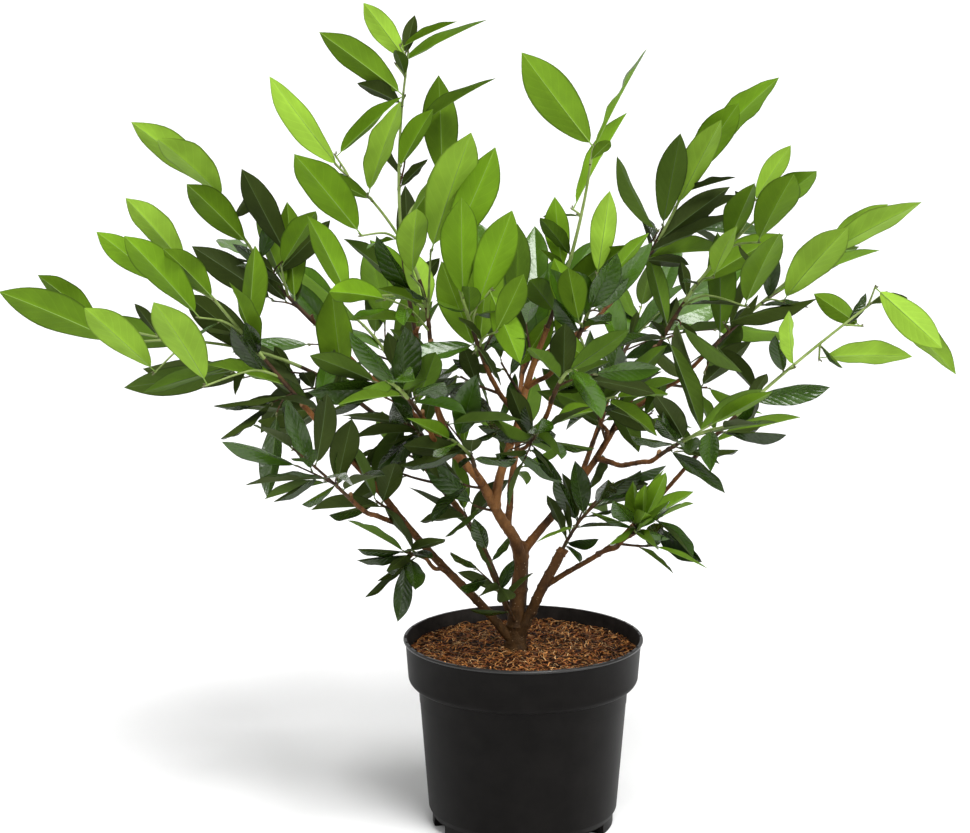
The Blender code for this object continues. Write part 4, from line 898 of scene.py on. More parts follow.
def bark_radius(name, share, distance, radii, scars, angle):
    """Radius of the bark at one point of one ring."""
    radius = thickness_at(radii, share)
    x, y = math.cos(angle), math.sin(angle)
    rows = Vector((x * FURROWS_ROUND, y * FURROWS_ROUND, distance * FURROWS_ALONG + len(name)))
    lump = noise.noise(Vector((x, y, distance * LUMPS_ALONG + 7.0 * len(name))))
    swell = 1.0 + BARK_FURROW * (noise.noise(rows) + LUMP_SHARE * lump)
    for place, side, rise in scars:
        near = math.exp(-(((distance - place) / SCAR_WIDTH) ** 2))
        swell += rise * near * (SCAR_ALL_ROUND + SCAR_ONE_SIDED * math.cos(angle - side))
    if name == "trunk":
        # three broad ridges run into the ground, with seven fine ones among them
        ridge = math.sin(angle * 3.0 + 0.8) + 0.5 * math.sin(angle * 7.0 + 2.0)
        swell += FOOT_RIDGE * ridge * math.exp(-distance / FOOT_RIDGE_HEIGHT)
    else:
        swell += COLLAR_RISE * math.exp(-max(0.0, distance - radius) / (COLLAR_REACH * radii[0]))
    return radius * swell


def seeded_scars(length, dice):
    """Place, side and height of each old leaf scar along a limb."""
    scars = []
    place = SCAR_SPACING * dice.uniform(0.8, 1.4)
    while place < length - SCARS_END:
        scars.append((place, dice.uniform(*ANY_ANGLE), SCAR_RISE * dice.uniform(0.3, 1.3)))
        place += SCAR_SPACING * dice.uniform(0.5, 1.3)
    return scars


def bark_skin(name, path, radii, dice):
    """Points and faces of one limb's bark."""
    length = length_of(path)
    rings = max(8, int(length / BARK_STEP))
    sides = BARK_SIDES_TRUNK if name == "trunk" else BARK_SIDES_BOUGH
    scars = seeded_scars(length, dice)
    points = []
    across = (path[1] - path[0]).orthogonal().normalized()
    for ring in range(rings + 1):
        share = ring / rings
        centre = smooth_point(path, share)
        ahead, behind = min(1.0, share + 0.01), max(0.0, share - 0.01)
        run = (smooth_point(path, ahead) - smooth_point(path, behind)).normalized()
        across, other = square_to(UP if name == "trunk" and ring == 0 else run, across)
        for angle in circle(sides):
            radius = bark_radius(name, share, share * length, radii, scars, angle)
            points.append(centre + spoke(across, other, angle) * radius)
    faces = ring_faces(rings + 1, sides)
    foot, top = len(points), rings * sides
    points += [path[0], path[-1] + run * radii[-1] * TIP_DOME]
    for step in range(sides):
        after = (step + 1) % sides
        faces += [(foot, after, step), (top + step, top + after, foot + 1)]
    return points, faces


# %% [markdown]
# Young laurel bark is smooth and reddish brown with darker cloudy patches. Old bark low
# on the trunk is duller, and its darker colour also paints the shade under the crown. One
# function makes both: the cloudy group mixes the browns, and the height of the point above
# the pot blends in the darker base colour. The two boughs that carry the crown have the
# brightest bark, painted lighter as painted light where light falls on them, so they get a
# finish of their own.

# %% Bark finish
# below this height the bark takes the old bark's colours, darker also as painted shade under the crown
BARK_OLD_AND_SHADED_BELOW = 0.20
BARK_BRIGHT_ABOVE = 0.36
BARK_GRAIN_SCALE = 900.0
OLD_SHADED_BARK_DARK = (0.008, 0.005, 0.003)
OLD_SHADED_BARK_LIGHT = (0.092, 0.044, 0.013)
# these boughs get bark painted lighter: painted light where the light falls on them
PAINTED_LIGHT_BOUGHS = ("bough_left_main", "bough_centre")
BARK_CREASE_DEG = 60.0


def bark_finish(name, darker, lighter):
    """Young bark above, old bark with painted shade below."""
    material = finish(name, lighter, 0.62, shine=0.14)
    tree = material.node_tree
    young = clouds_in(material, 70.0, darker, lighter, (1.0, 1.0, 0.45), 0.34, 0.68)
    old = clouds_in(material, 90.0, OLD_SHADED_BARK_DARK, OLD_SHADED_BARK_LIGHT, (1.0, 1.0, 0.35), 0.30, 0.70)
    place = place_of(tree)
    upright = node(tree, "ShaderNodeSeparateXYZ", {0: place}).outputs["Z"]
    height = rescale(tree, upright, BARK_OLD_AND_SHADED_BELOW, BARK_BRIGHT_ABOVE)
    feed(material, "Base Color", mix_colours(tree, height, old["Colour"], young["Colour"]))
    grain = {"Vector": place, "Scale": BARK_GRAIN_SCALE, "Detail": 4.0}
    relief(material, node(tree, "ShaderNodeTexNoise", grain).outputs["Fac"], 0.0011, 0.8)
    return material


def join_skins(name, skins, materials):
    """Put several skins into one mesh; each comes with the number of its material."""
    points = []
    faces = []
    kinds = []
    for skin_points, skin_faces, kind in skins:
        start = len(points)
        points += skin_points
        faces += [tuple(start + corner for corner in face) for face in skin_faces]
        kinds += [kind] * len(skin_faces)
    piece = keep(name, points, faces, materials)
    piece.data.polygons.foreach_set("material_index", kinds)
    return piece


# %% Make the bark
def make_bark():
    """Skin every limb and join the skins."""
    dice = random.Random(41)
    skins = []
    for name, (path, radii) in limbs.items():
        skins.append((*bark_skin(name, path, radii, dice), 1 if name in PAINTED_LIGHT_BOUGHS else 0))
    brown = bark_finish("brown_bark", (0.030, 0.013, 0.004), (0.250, 0.098, 0.028))
    # the same bark, painted lighter as painted light on the boughs that carry the crown
    bark_with_painted_light = bark_finish("reddish_bark", (0.085, 0.034, 0.010), (0.350, 0.155, 0.050))
    bark = join_skins("bark_of_trunk_and_boughs", skins, [brown, bark_with_painted_light])
    smooth(bark, BARK_CREASE_DEG)
    return bark


bark = make_bark()
print("bark", triangles(bark), "triangles")

# %% [markdown]
# Pale corky pores dot a laurel's bark. They are tiny, many and follow the surface, so
# Geometry Nodes scatter them: flattened grains set on the bark and turned to its normal.

# %% Pores on the bark
PORES_PER_SQUARE_METRE = 21000.0
PORE_SIZE = 0.00052
PORE_FLATNESS = 0.30
PORE_SIZES = (0.5, 1.5)
PORE_SEEDS = (8, 9)


def pore_tree(grain, material):
    """Scatter a grain over the bark, square to it."""
    inputs = (("Bark", "Geometry"), ("Density", "Float", 1000.0))
    tree, given = new_tree("scatter_pores", GEOMETRY, inputs, (("Pores", "Geometry"),))
    grains = strewn(tree, given["Bark"], grain, given["Density"], PORE_SEEDS, PORE_SIZES, material)
    node(tree, "NodeGroupOutput", {0: grains})
    return tree


def make_pores():
    """Strew flat grains of cork and make them real."""
    shape = bmesh.new()
    bmesh.ops.create_icosphere(shape, subdivisions=1, radius=PORE_SIZE)
    bmesh.ops.scale(shape, vec=(1.0, 1.0, PORE_FLATNESS), verts=shape.verts)
    grain = keep("pore", [], [])
    shape.to_mesh(grain.data)
    shape.free()
    cork = finish("pale_cork", (0.190, 0.115, 0.060), 0.8)
    pores = put("bark_pores", bark.data.copy())
    pores.data = grown_mesh(pores, pore_tree(grain, cork), Density=PORES_PER_SQUARE_METRE)
    bpy.data.objects.remove(grain, do_unlink=True)
    return pores


pores = make_pores()
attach(bark, "root")
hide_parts(*limbs)
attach(pores, "root")
print("pores", triangles(pores), "triangles")

# %% [markdown]
# ## Shoots
# A leafy shoot goes on from a bough's tip. It is a twig that leaves in the bough's own
# direction and bends toward the place its end leaf reaches; shorter shoots leave it part
# of the way along. Leaves sit round a twig by the golden turn, spread wider low down and
# closer at the tip, and stand with their upper sides to the middle of the plant. The
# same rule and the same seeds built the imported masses, so every leaf comes out where the
# frame has its plain stand-in.

# %% Shoot sizes
# mass, the bough it goes on from, how young each shoot's leaves look from 0 for the oldest
# to 1, and its shoots: the place where a shoot leaves the first one, the point its end leaf
# reaches in millimetres, how many leaves, leaf length in millimetres, turn of the first
# leaf in degrees, lift of the leaves, and its end leaf's lean sideways, lean upward and
# roll where it has any
MASSES = (
    ("leaves_far_left", "stem_left_second", (0.72, 0.78, 0.66, 0.14, 0.12, 0.15),
     (0.00, (-482, -30, 518), 4, 118, 240, 0.16, (0.0, 0.36, 0.0)),
     (0.72, (-394, -70, 506), 1, 102, 0, 0.16, (0.0, 0.50, 10.0)),
     (0.80, (-448, 10, 524), 1, 72, 0, 0.16, (0.0, 0.20, 20.0)),
     (0.46, (-372, 30, 412), 2, 104, 80, 0.00, (0.0, 0.10, 65.0)),
     (0.26, (-360, 80, 424), 2, 104, 250, 0.00, (0.0, 0.10, 60.0)),
     (0.16, (-280, -60, 385), 3, 70, 140, 0.00)),
    ("leaves_left_middle", "stem_left_low", (0.74, 0.66, 0.78, 0.74, 0.68, 0.15),
     (0.00, (-353, -80, 610), 4, 84, 50, 0.25),
     (0.74, (-380, -60, 574), 1, 74, 0, 0.25, (0.0, 0.30, 15.0)),
     (0.50, (-347, -110, 577), 1, 106, 0, 0.25, (0.0, 0.25, 0.0)),
     (0.20, (-323, -120, 524), 1, 106, 0, 0.25, (0.2, 0.55, 0.0)),
     (0.34, (-286, -60, 538), 2, 84, 95, 0.20, (0.1, 0.30, 10.0)),
     (0.08, (-227, -100, 335), 2, 80, 200, -0.30, (0.0, -0.4, 0.0))),
    ("leaves_left_top", "bough_left_upper", (0.88, 0.80, 0.24, 0.14, 0.62, 0.35),
     (0.00, (-363, 50, 668), 3, 102, 30, 0.20, (0.0, -0.25, 0.0)),
     (0.66, (-332, 10, 658), 1, 100, 0, 0.20, (0.0, -0.10, 0.0)),
     (0.34, (-261, 30, 620), 2, 96, 120, 0.25, (-0.35, 0.2, 0.0)),
     (0.08, (-313, 80, 542), 2, 95, 190, 0.10, (0.0, 0.1, 50.0)),
     (0.20, (-190, -10, 587), 2, 78, 250, 0.20, (0.2, 0.2, 50.0)),
     (0.36, (-300, 170, 540), 3, 80, 190, 0.10)),
    ("leaves_centre_left", "bough_left_rising", (0.92, 0.94, 0.98, 0.74, 0.60, 0.80, 0.99, 0.98),
     (0.00, (-232, -60, 711), 2, 104, 230, 0.25, (0.0, 0.15, 66.0)),
     (0.93, (-111, -50, 693), 1, 80, 0, 0.30, (0.3, 0.0, 45.0)),
     (0.78, (-112, -90, 690), 1, 98, 0, 0.30, (0.1, 0.2, 50.0)),
     (0.54, (-202, -120, 650), 1, 112, 0, 0.30, (0.05, 0.25, 0.0)),
     (0.16, (-196, -20, 582), 2, 85, 60, 0.20, (0.35, 0.5, 0.0)),
     (0.06, (-173, -150, 536), 2, 78, 20, 0.20),
     (0.12, (-50, -130, 671), 1, 128, 0, 0.30, (0.1, 0.2, 15.0)),
     (0.18, (-97, -140, 608), 1, 92, 0, 0.30, (0.1, 0.2, 35.0))),
    ("leaves_centre_tall", "bough_centre_rising", (0.86, 0.55, 0.80, 0.78, 0.66, 0.40, 0.20),
     (0.00, (-144, 0, 780), 3, 68, 100, 0.30, (-0.6, 0.0, 25.0)),
     (0.97, (-63, 10, 757), 1, 56, 0, 0.30, (0.5, 0.0, 65.0)),
     (0.92, (-37, 30, 759), 1, 92, 0, 0.30, (0.3, 0.0, 60.0)),
     (0.82, (-184, -10, 748), 1, 100, 0, 0.30, (-0.3, 0.15, 0.0)),
     (0.36, (-75, 50, 704), 2, 98, 60, 0.30, (-0.3, 0.3, 0.0)),
     (0.54, (-24, 40, 706), 1, 100, 0, 0.30, (0.4, 0.0, 66.0)),
     (0.12, (-110, 110, 590), 2, 85, 290, 0.25)),
    ("leaves_centre_front", "bough_centre_front", (0.80, 0.80, 0.76, 0.58, 0.62, 0.30),
     (0.00, (-26, -110, 653), 3, 100, 70, 0.30, (0.3, 0.0, 0.0)),
     (0.34, (-13, -135, 600), 1, 95, 0, 0.30, (0.1, 0.3, 10.0)),
     (0.46, (-4, -130, 466), 1, 68, 0, 0.30, (0.2, -1.6, 0.0)),
     (0.20, (-55, -110, 556), 2, 85, 90, 0.30, (0.0, 0.2, 20.0)),
     (0.14, (0, -150, 546), 1, 66, 0, 0.30, (0.0, 0.3, 0.0)),
     (0.06, (-78, -120, 450), 2, 66, 200, 0.00, (-0.4, -0.6, 0.0))),
    ("leaves_right_tall", "bough_centre", (0.90, 0.80, 0.78, 0.62, 0.60),
     (0.00, (103, -40, 738), 2, 102, 75, 0.30, (0.2, 0.1, 66.0)),
     (0.90, (-6, -60, 728), 1, 108, 0, 0.30, (-0.2, 0.1, 0.0)),
     (0.62, (87, -10, 674), 1, 102, 0, 0.30, (0.2, 0.2, 55.0)),
     (0.30, (23, -60, 603), 1, 68, 280, 0.30, (0.0, 0.2, 0.0)),
     (0.10, (0, -100, 540), 2, 70, 120, 0.30)),
    ("leaves_right_inner", "bough_right_inner", (0.78, 0.62, 0.70, 0.34, 0.60),
     (0.00, (74, -85, 612), 3, 76, 130, 0.30),
     (0.30, (80, -120, 563), 2, 70, 10, 0.25),
     (0.16, (33, -140, 554), 2, 72, 240, 0.25, (0.0, 0.2, 0.0)),
     (0.40, (92, -40, 566), 1, 78, 0, 0.25, (0.0, 0.3, 0.0)),
     (0.05, (22, -125, 490), 1, 62, 0, 0.25, (-0.2, 0.5, 10.0))),
    ("leaves_right_top", "bough_right_upper", (0.80, 0.88, 0.24, 0.16, 0.14, 0.30),
     (0.00, (231, 50, 710), 3, 108, 45, 0.20, (0.2, 0.0, 20.0)),
     (0.70, (193, 20, 684), 1, 92, 0, 0.30),
     (0.24, (142, 20, 655), 2, 94, 170, 0.30, (0.0, 0.2, 0.0)),
     (0.12, (74, 0, 629), 1, 88, 0, 0.25, (-0.3, 0.1, 50.0)),
     (0.20, (202, 90, 595), 2, 98, 80, 0.15, (0.2, 0.1, 45.0)),
     (0.36, (190, 170, 536), 3, 80, 200, 0.10)),
    ("leaves_right_upper", "bough_right_main", (0.76, 0.82, 0.84, 0.70, 0.88, 0.10, 0.16),
     (0.00, (263, -50, 634), 4, 92, 15, 0.30),
     (0.70, (236, -70, 630), 1, 102, 0, 0.30, (-0.1, 0.2, 0.0)),
     (0.30, (221, -75, 577), 1, 104, 0, 0.30, (-0.2, 0.5, 0.0)),
     (0.42, (186, -50, 581), 1, 80, 0, 0.30, (0.0, 0.3, 0.0)),
     (0.80, (242, 10, 644), 1, 62, 0, 0.30, (0.2, 0.2, 10.0)),
     (0.06, (160, -90, 398), 2, 92, 330, -0.30, (0.5, -0.9, 0.0)),
     (0.20, (200, -20, 442), 2, 75, 100, 0.00, (0.3, -0.1, 60.0))),
    ("leaves_right_far", "bough_right_side", (0.80, 0.76, 0.84, 0.14, 0.15, 0.35),
     (0.00, (365, 0, 597), 3, 114, 170, 0.20, (0.1, 0.0, 10.0)),
     (0.72, (338, 50, 588), 1, 76, 0, 0.20),
     (0.52, (292, 0, 572), 1, 106, 0, 0.20, (0.0, 0.2, 0.0)),
     (0.22, (270, 30, 505), 2, 92, 170, 0.10, (0.3, 0.0, 65.0)),
     (0.12, (205, 90, 470), 2, 70, 14, 0.10, (0.0, 0.2, 60.0)),
     (0.45, (320, 110, 540), 1, 85, 70, 0.15)),
    ("leaves_right_low", "bough_right_long", (0.84, 0.86, 0.80, 0.76, 0.80, 0.16, 0.12, 0.12),
     (0.00, (401, -40, 454), 2, 100, 160, 0.14, (0.4, -1.2, 50.0)),
     (0.93, (367, -100, 474), 1, 80, 0, 0.14, (0.7, -0.9, 0.0)),
     (0.74, (345, -60, 466), 1, 82, 0, 0.14, (0.8, 0.25, 20.0)),
     (0.84, (263, -30, 512), 1, 52, 0, 0.14, (-0.6, 0.2, 0.0)),
     (0.56, (227, -100, 508), 1, 62, 0, 0.14, (-0.2, 0.3, 30.0)),
     (0.44, (274, -50, 430), 2, 78, 250, 0.10, (0.5, 0.1, -40.0)),
     (0.20, (232, -100, 400), 1, 60, 0, 0.00, (0.4, 0.0, 0.0)),
     (0.10, (195, -80, 385), 1, 62, 40, 0.00, (0.3, 0.0, 20.0))),
    ("leaves_right_short", "stem_right_low", (0.16, 0.14, 0.18, 0.40),
     (0.00, (120, -20, 372), 6, 55, 70, 0.10),
     (0.30, (75, 50, 350), 3, 55, 200, 0.10),
     (0.46, (105, -65, 358), 4, 52, 20, 0.10),
     (0.06, (10, -65, 292), 2, 48, 60, 0.00, (-0.4, -0.4, 0.0))),
    ("leaves_low_right", "bough_low_right", (0.82, 0.40, 0.74),
     (0.00, (125, -110, 365), 5, 52, 20, 0.20),
     (0.25, (75, -130, 345), 3, 50, 130, 0.00),
     (0.30, (140, -70, 340), 3, 55, 220, 0.10)),
    ("leaves_low_left", "bough_low_left", (0.06, 0.06, 0.10),
     (0.00, (-152, -80, 290), 4, 48, 40, 0.00),
     (0.50, (-114, -80, 218), 2, 54, 160, -0.30, (0.0, -0.5, 0.0)),
     (0.60, (-100, -120, 300), 2, 42, 80, 0.00)),
    ("leaves_back", "bough_back", (0.60, 0.50, 0.45, 0.20),
     (0.00, (-30, 290, 510), 6, 92, 25, 0.25),
     (0.25, (80, 240, 530), 3, 88, 110, 0.25),
     (0.20, (-50, 170, 560), 3, 88, 230, 0.30),
     (0.12, (20, 230, 420), 2, 75, 310, 0.00)),
    ("leaves_back_left", "bough_back_left", (0.60, 0.45, 0.30, 0.15),
     (0.00, (-250, 280, 500), 6, 92, 75, 0.20),
     (0.25, (-130, 290, 510), 3, 88, 190, 0.25),
     (0.22, (-290, 170, 430), 3, 80, 320, 0.10),
     (0.10, (-130, 210, 380), 2, 70, 20, -0.10)),
    ("leaves_back_right", "bough_back_right", (0.60, 0.50, 0.35, 0.15),
     (0.00, (240, 280, 500), 6, 92, 5, 0.20),
     (0.25, (140, 300, 510), 3, 88, 100, 0.25),
     (0.22, (270, 160, 450), 3, 80, 210, 0.10),
     (0.10, (110, 220, 380), 2, 70, 300, -0.10)),
    ("leaves_front_left", "bough_front_left", (0.16, 0.20, 0.14),
     (0.00, (-225, -270, 445), 5, 72, 55, 0.05),
     (0.25, (-260, -170, 410), 3, 70, 140, 0.05),
     (0.20, (-150, -250, 400), 2, 70, 230, 0.05)),
    ("leaves_front_right", "bough_front_right", (0.30, 0.48, 0.15),
     (0.00, (190, -260, 440), 5, 72, 35, 0.05),
     (0.25, (210, -170, 450), 3, 72, 210, 0.10),
     (0.20, (130, -240, 415), 2, 65, 300, 0.05)),
    ("leaves_front_high_left", "bough_front_high_left", (0.60, 0.30, 0.35),
     (0.00, (-130, -290, 480), 5, 75, 85, 0.15),
     (0.25, (-185, -210, 490), 3, 75, 10, 0.15),
     (0.20, (-70, -230, 470), 2, 70, 120, 0.10)),
    ("leaves_front_high_right", "bough_front_high_right", (0.50, 0.22),
     (0.00, (50, -290, 480), 5, 72, 65, 0.15),
     (0.25, (115, -210, 480), 3, 72, 160, 0.15)),
    ("leaves_inner_left", "twig_inner_left", (0.16, 0.10, 0.08, 0.12),
     (0.00, (-165, -90, 415), 5, 68, 60, 0.05),
     (0.20, (-137, -40, 335), 3, 66, 170, -0.20, (0.0, -0.8, 0.0)),
     (0.30, (-128, 10, 321), 2, 66, 40, -0.20, (0.1, -0.8, 20.0)),
     (0.40, (-72, -70, 350), 2, 52, 100, -0.10)),
    ("leaves_inner_front", "twig_inner_front", (0.46, 0.26, 0.14),
     (0.00, (-105, -160, 425), 5, 64, 30, 0.10),
     (0.42, (-5, -150, 425), 3, 70, 150, 0.05, (1.0, -0.2, 0.0)),
     (0.18, (-48, -145, 402), 2, 48, 240, 0.05)),
    ("leaves_inner_centre", "twig_inner_centre", (0.34, 0.20, 0.16),
     (0.00, (15, -160, 425), 6, 64, 80, 0.10),
     (0.20, (35, -100, 356), 2, 55, 200, 0.00, (0.8, 0.0, 0.0)),
     (0.15, (-20, -150, 345), 3, 50, 100, 0.00)),
    ("leaves_inner_right", "twig_inner_right", (0.60, 0.30),
     (0.00, (130, -75, 430), 4, 70, 100, 0.05),
     (0.20, (108, 10, 360), 4, 62, 230, -0.10, (0.0, -0.6, 0.0))),
    ("leaves_outer_left", "twig_outer_left", (0.14, 0.16),
     (0.00, (-280, 50, 395), 4, 78, 120, 0.00),
     (0.20, (-240, -30, 450), 3, 70, 10, 0.05)),
    ("leaves_short_sprig", "trunk", (0.10, 0.12),
     (0.00, (-46, -85, 322), 6, 42, 100, 0.10),
     (0.40, (-68, -85, 290), 3, 42, 20, 0.10)),
)
FRESHNESS = {mass: tones for mass, bough, tones, *shoots in MASSES}
STRAIGHT = (0.0, 0.0, 0.0)
# the short sprig leaves the front of the trunk itself, this far up it, with the middle
# of its slanted end this far off the bark
SPRIG_ON_TRUNK = 0.45
SPRIG_STAND_OFF = 0.0016
SPRIG_WAY = (-0.30, -1.0, 0.0)
SPRIG_RISE = 0.8
TWIG_STEPS_LEAD = 5
TWIG_STEPS_SIDE = 2
TWIG_LEAD_RADIUS = 0.0024
TWIG_SIDE_RADIUS = 0.0020
TWIG_TIP_RADIUS = 0.0016
TWIG_STIFFNESS = 0.50
print("masses", len(MASSES), "shoots", sum(len(tones) for tones in FRESHNESS.values()))


# %% Twig lines
def shoot_path(start, heading, reach, leaf_length, lean, steps):
    """Path of a twig whose end leaf comes to the point it reaches, and that leaf's aim."""
    distance = max(0.0, (reach - start).length - leaf_length)
    middle = start + heading * distance * TWIG_STIFFNESS
    aim = ((reach - middle).normalized() + Vector((lean[0], 0.0, lean[1]))).normalized()
    end = reach - aim * leaf_length
    points = []
    for step in range(steps + 1):
        share = step / steps
        back = 1.0 - share
        points.append(start * back * back + middle * 2.0 * share * back + end * share * share)
    return points, aim


def shoot_root(bough):
    """Where the first shoot of a mass leaves its limb, its heading and its radius."""
    path, radii = limbs[bough]
    if bough != "trunk":
        heading = (path[-1] - path[-2]).normalized()
        return path[-1] + heading * GAP, heading, TWIG_LEAD_RADIUS
    start = along(path, SPRIG_ON_TRUNK)[0]
    away = Vector(SPRIG_WAY).normalized()
    start = start + away * (thickness_at(radii, SPRIG_ON_TRUNK) + SPRIG_STAND_OFF)
    return start, (away + UP * SPRIG_RISE).normalized(), TWIG_SIDE_RADIUS


def grown_twigs(bough, shoots):
    """Twigs of a mass, worked out before any leaf."""
    twigs = []
    point, run, thick = shoot_root(bough)
    steps = TWIG_STEPS_LEAD
    for where, reach, count, leaf_mm, turn, lift, *lean in shoots:
        end_leaf = lean[0] if lean else STRAIGHT
        leaf_length = leaf_mm / MM_PER_METRE
        if twigs:
            point, run = along(twigs[0]["line"], where)
            run = (run + (metres(reach) - point).normalized()).normalized()
            steps = TWIG_STEPS_SIDE
            thick = TWIG_SIDE_RADIUS
        line, aim = shoot_path(point, run, metres(reach), leaf_length, end_leaf, steps)
        twigs.append({
            "line": line,
            "radii": [thick + (TWIG_TIP_RADIUS - thick) * step / steps for step in range(steps + 1)],
            "count": count,
            "leaf_length": leaf_length,
            "turn": turn,
            "lift": lift,
            "aim": aim,
            "roll": end_leaf[2],
            "lead": not twigs,
        })
    return twigs


twigs_of = {mass: grown_twigs(bough, shoots) for mass, bough, tones, *shoots in MASSES}
print("twigs", sum(len(twigs) for twigs in twigs_of.values()))

# %% Leaf habit
BARE_LEAD = 0.14
BARE_SIDE = 0.20
END_LEAF_PLACE = 0.97
CROWDING = 0.9
SHORTEST, LONGER = 0.80, 0.25
LONGER_FROM, LONGER_SPAN = 0.15, 0.75
LEAF_TURN_DEG = 137.5
LOOSE_TURN_DEG = 15.0
SPREADS_ERECT = (46.0, 25.0)
SPREADS_LEVEL = (58.0, 32.0)
LOOSE_SPREAD_DEG = 6.0
LOOSE_LENGTH = (0.92, 1.08)
LEAF_TWIST_DEG = 42.0
BACK_FROM_Y = 0.09
FAN_FLATNESS = 0.50
FACE_OUT = 0.60
FACE_UP_ERECT = 0.10
FACE_UP_LEVEL = 0.70
ERECT_LIFT = 0.12
AIM_GIVE = 0.10
CUP = 0.25
FACE_INWARD = 1.2


# %% Where leaves would like to be
def wish(point, run, outer, back_from, **rest):
    """Root of a leaf, and the ways that its face and its spread are measured from."""
    away = 1.0 if outer.y < back_from else -1.0
    facing = Vector((-FACE_INWARD * outer.x, away, 0.0)).normalized()
    first = (facing - run * facing.dot(run)).normalized()
    return {"root": point, "run": run, "facing": facing, "first": first, "second": run.cross(first), **rest}


def leaf_plans(twig, dice):
    """Root, direction, face and length of each leaf a shoot would like to grow."""
    plans = []
    bare = BARE_LEAD if twig["lead"] else BARE_SIDE
    erect = twig["lift"] >= ERECT_LIFT
    low_spread, high_spread = SPREADS_ERECT if erect else SPREADS_LEVEL
    for number in range(twig["count"]):
        share = 1.0 - number / max(1, twig["count"] - 1)
        place = bare + (1.0 - bare) * share ** CROWDING
        loose = dice.uniform(-LOOSE_SPREAD_DEG, LOOSE_SPREAD_DEG)
        longer = LONGER * math.sin(math.pi * (LONGER_FROM + LONGER_SPAN * share))
        length = twig["leaf_length"] * (SHORTEST + longer) * dice.uniform(*LOOSE_LENGTH)
        twist = dice.uniform(-LEAF_TWIST_DEG, LEAF_TWIST_DEG)
        plans.append(wish(
            *along(twig["line"], min(place, END_LEAF_PLACE)), twig["line"][-1], BACK_FROM_Y,
            aim=None if number else twig["aim"],
            azimuth=twig["turn"] + number * LEAF_TURN_DEG + dice.uniform(-LOOSE_TURN_DEG, LOOSE_TURN_DEG),
            spread=low_spread + (high_spread - low_spread) * share + loose,
            length=length if number else twig["leaf_length"],
            lift=twig["lift"],
            cup=CUP if number else 0.0,
            level=FACE_UP_ERECT if erect else FACE_UP_LEVEL,
            twist=twist if number else twig["roll"],
        ))
    return plans


def leaf_pose(plan, extra_turn):
    """Direction of a leaf and the way its upper side looks."""
    angle = math.radians(plan["azimuth"] + extra_turn)
    ray = plan["first"] * math.cos(angle) * FAN_FLATNESS + plan["second"] * math.sin(angle)
    ray.normalize()
    spread = math.radians(plan["spread"])
    direction = plan["run"] * math.cos(spread) + ray * math.sin(spread)
    direction = (direction + UP * plan["lift"]).normalized()
    if plan["aim"]:
        direction = (plan["aim"] + ray * math.sin(math.radians(extra_turn * AIM_GIVE))).normalized()
    look = plan["facing"] * FACE_OUT - ray * plan["cup"] + UP * plan["level"]
    face = look - direction * look.dot(direction)
    face.normalize()
    face.rotate(Matrix.Rotation(math.radians(plan["twist"]), 3, direction))
    return direction, face


# %% [markdown]
# Leaves must not pass through each other. Each wish is tried as a plain blade against
# everything grown so far, turned round its twig a little where it would touch, and left
# out if no turn frees it. Blender's search trees answer whether two shapes overlap.

# %% Plain shapes to try
LEAF_WIDTH = 0.31
LEAF_THICK = 0.016
LEAF_ARCH = 0.07
LEAF_ABOVE, LEAF_BELOW = 0.5, 0.7
LEAF_ROOT = 0.0005
LEAF_STATIONS = ((0.30, 0.80), (0.64, 0.94))
SMALL_LEAF = 0.101
SMALL_LEAF_STATIONS = ((0.46, 1.04),)


def tube(path, radii, sides):
    """A closed plain tube along a path."""
    points = []
    across = (path[1] - path[0]).normalized().orthogonal().normalized()
    for index, centre in enumerate(path):
        run = (path[min(len(path) - 1, index + 1)] - path[max(0, index - 1)]).normalized()
        across, other = square_to(run, across)
        points += [centre + spoke(across, other, angle) * radii[index] for angle in circle(sides)]
    ends = [tuple(reversed(range(sides))), tuple(range(len(points) - sides, len(points)))]
    return points, ring_faces(len(path), sides) + ends


def plain_blade(root, direction, face, length, grow):
    """The frame's own plain leaf: a small root, one or two full stations and a tip."""
    side = direction.cross(face)
    points = []
    stations = ((0.0, 0.0), *(LEAF_STATIONS if length > SMALL_LEAF else SMALL_LEAF_STATIONS))
    for share, fullness in stations:
        half_width = (length * LEAF_WIDTH / 2.0 * fullness if share else LEAF_ROOT) + grow
        thick = (length * LEAF_THICK if share else LEAF_ROOT) + grow
        centre = root + direction * length * share - face * length * LEAF_ARCH * share * share
        above = face * (thick * LEAF_ABOVE + grow * LEAF_ABOVE)
        points.append(centre - side * half_width + above)
        points.append(centre + side * half_width + above)
        points.append(centre - face * thick * LEAF_BELOW)
    points.append(root + direction * (length + grow) - face * length * LEAF_ARCH)
    faces = [(0, 2, 1)]
    for low, near, far, high in ring_faces(len(stations), 3, inward=True):
        faces += [(low, near, far), (low, far, high)]
    top = len(points) - 4
    return points, faces + [(top + step, len(points) - 1, top + (step + 1) % 3) for step in range(3)]


# %% Is there room?
def bounds_of(points):
    """Lowest and highest corner of some points."""
    low = [min(point[axis] for point in points) for axis in range(3)]
    return low, [max(point[axis] for point in points) for axis in range(3)]


def obstacle(owner, points, faces):
    """A shape that leaves have to keep clear of."""
    return {"owner": owner, "box": bounds_of(points), "tree": BVHTree.FromPolygons(points, faces)}


def is_free(points, faces, others, owner):
    """Whether a shape keeps clear of all others but those of its owner."""
    low, high = bounds_of(points)
    own = None
    for other in others:
        other_low, other_high = other["box"]
        apart = any(low[axis] > other_high[axis] or other_low[axis] > high[axis] for axis in range(3))
        if other["owner"] == owner or apart:
            continue
        own = own or BVHTree.FromPolygons(points, faces)
        if own.overlap(other["tree"]):
            return False
    return True


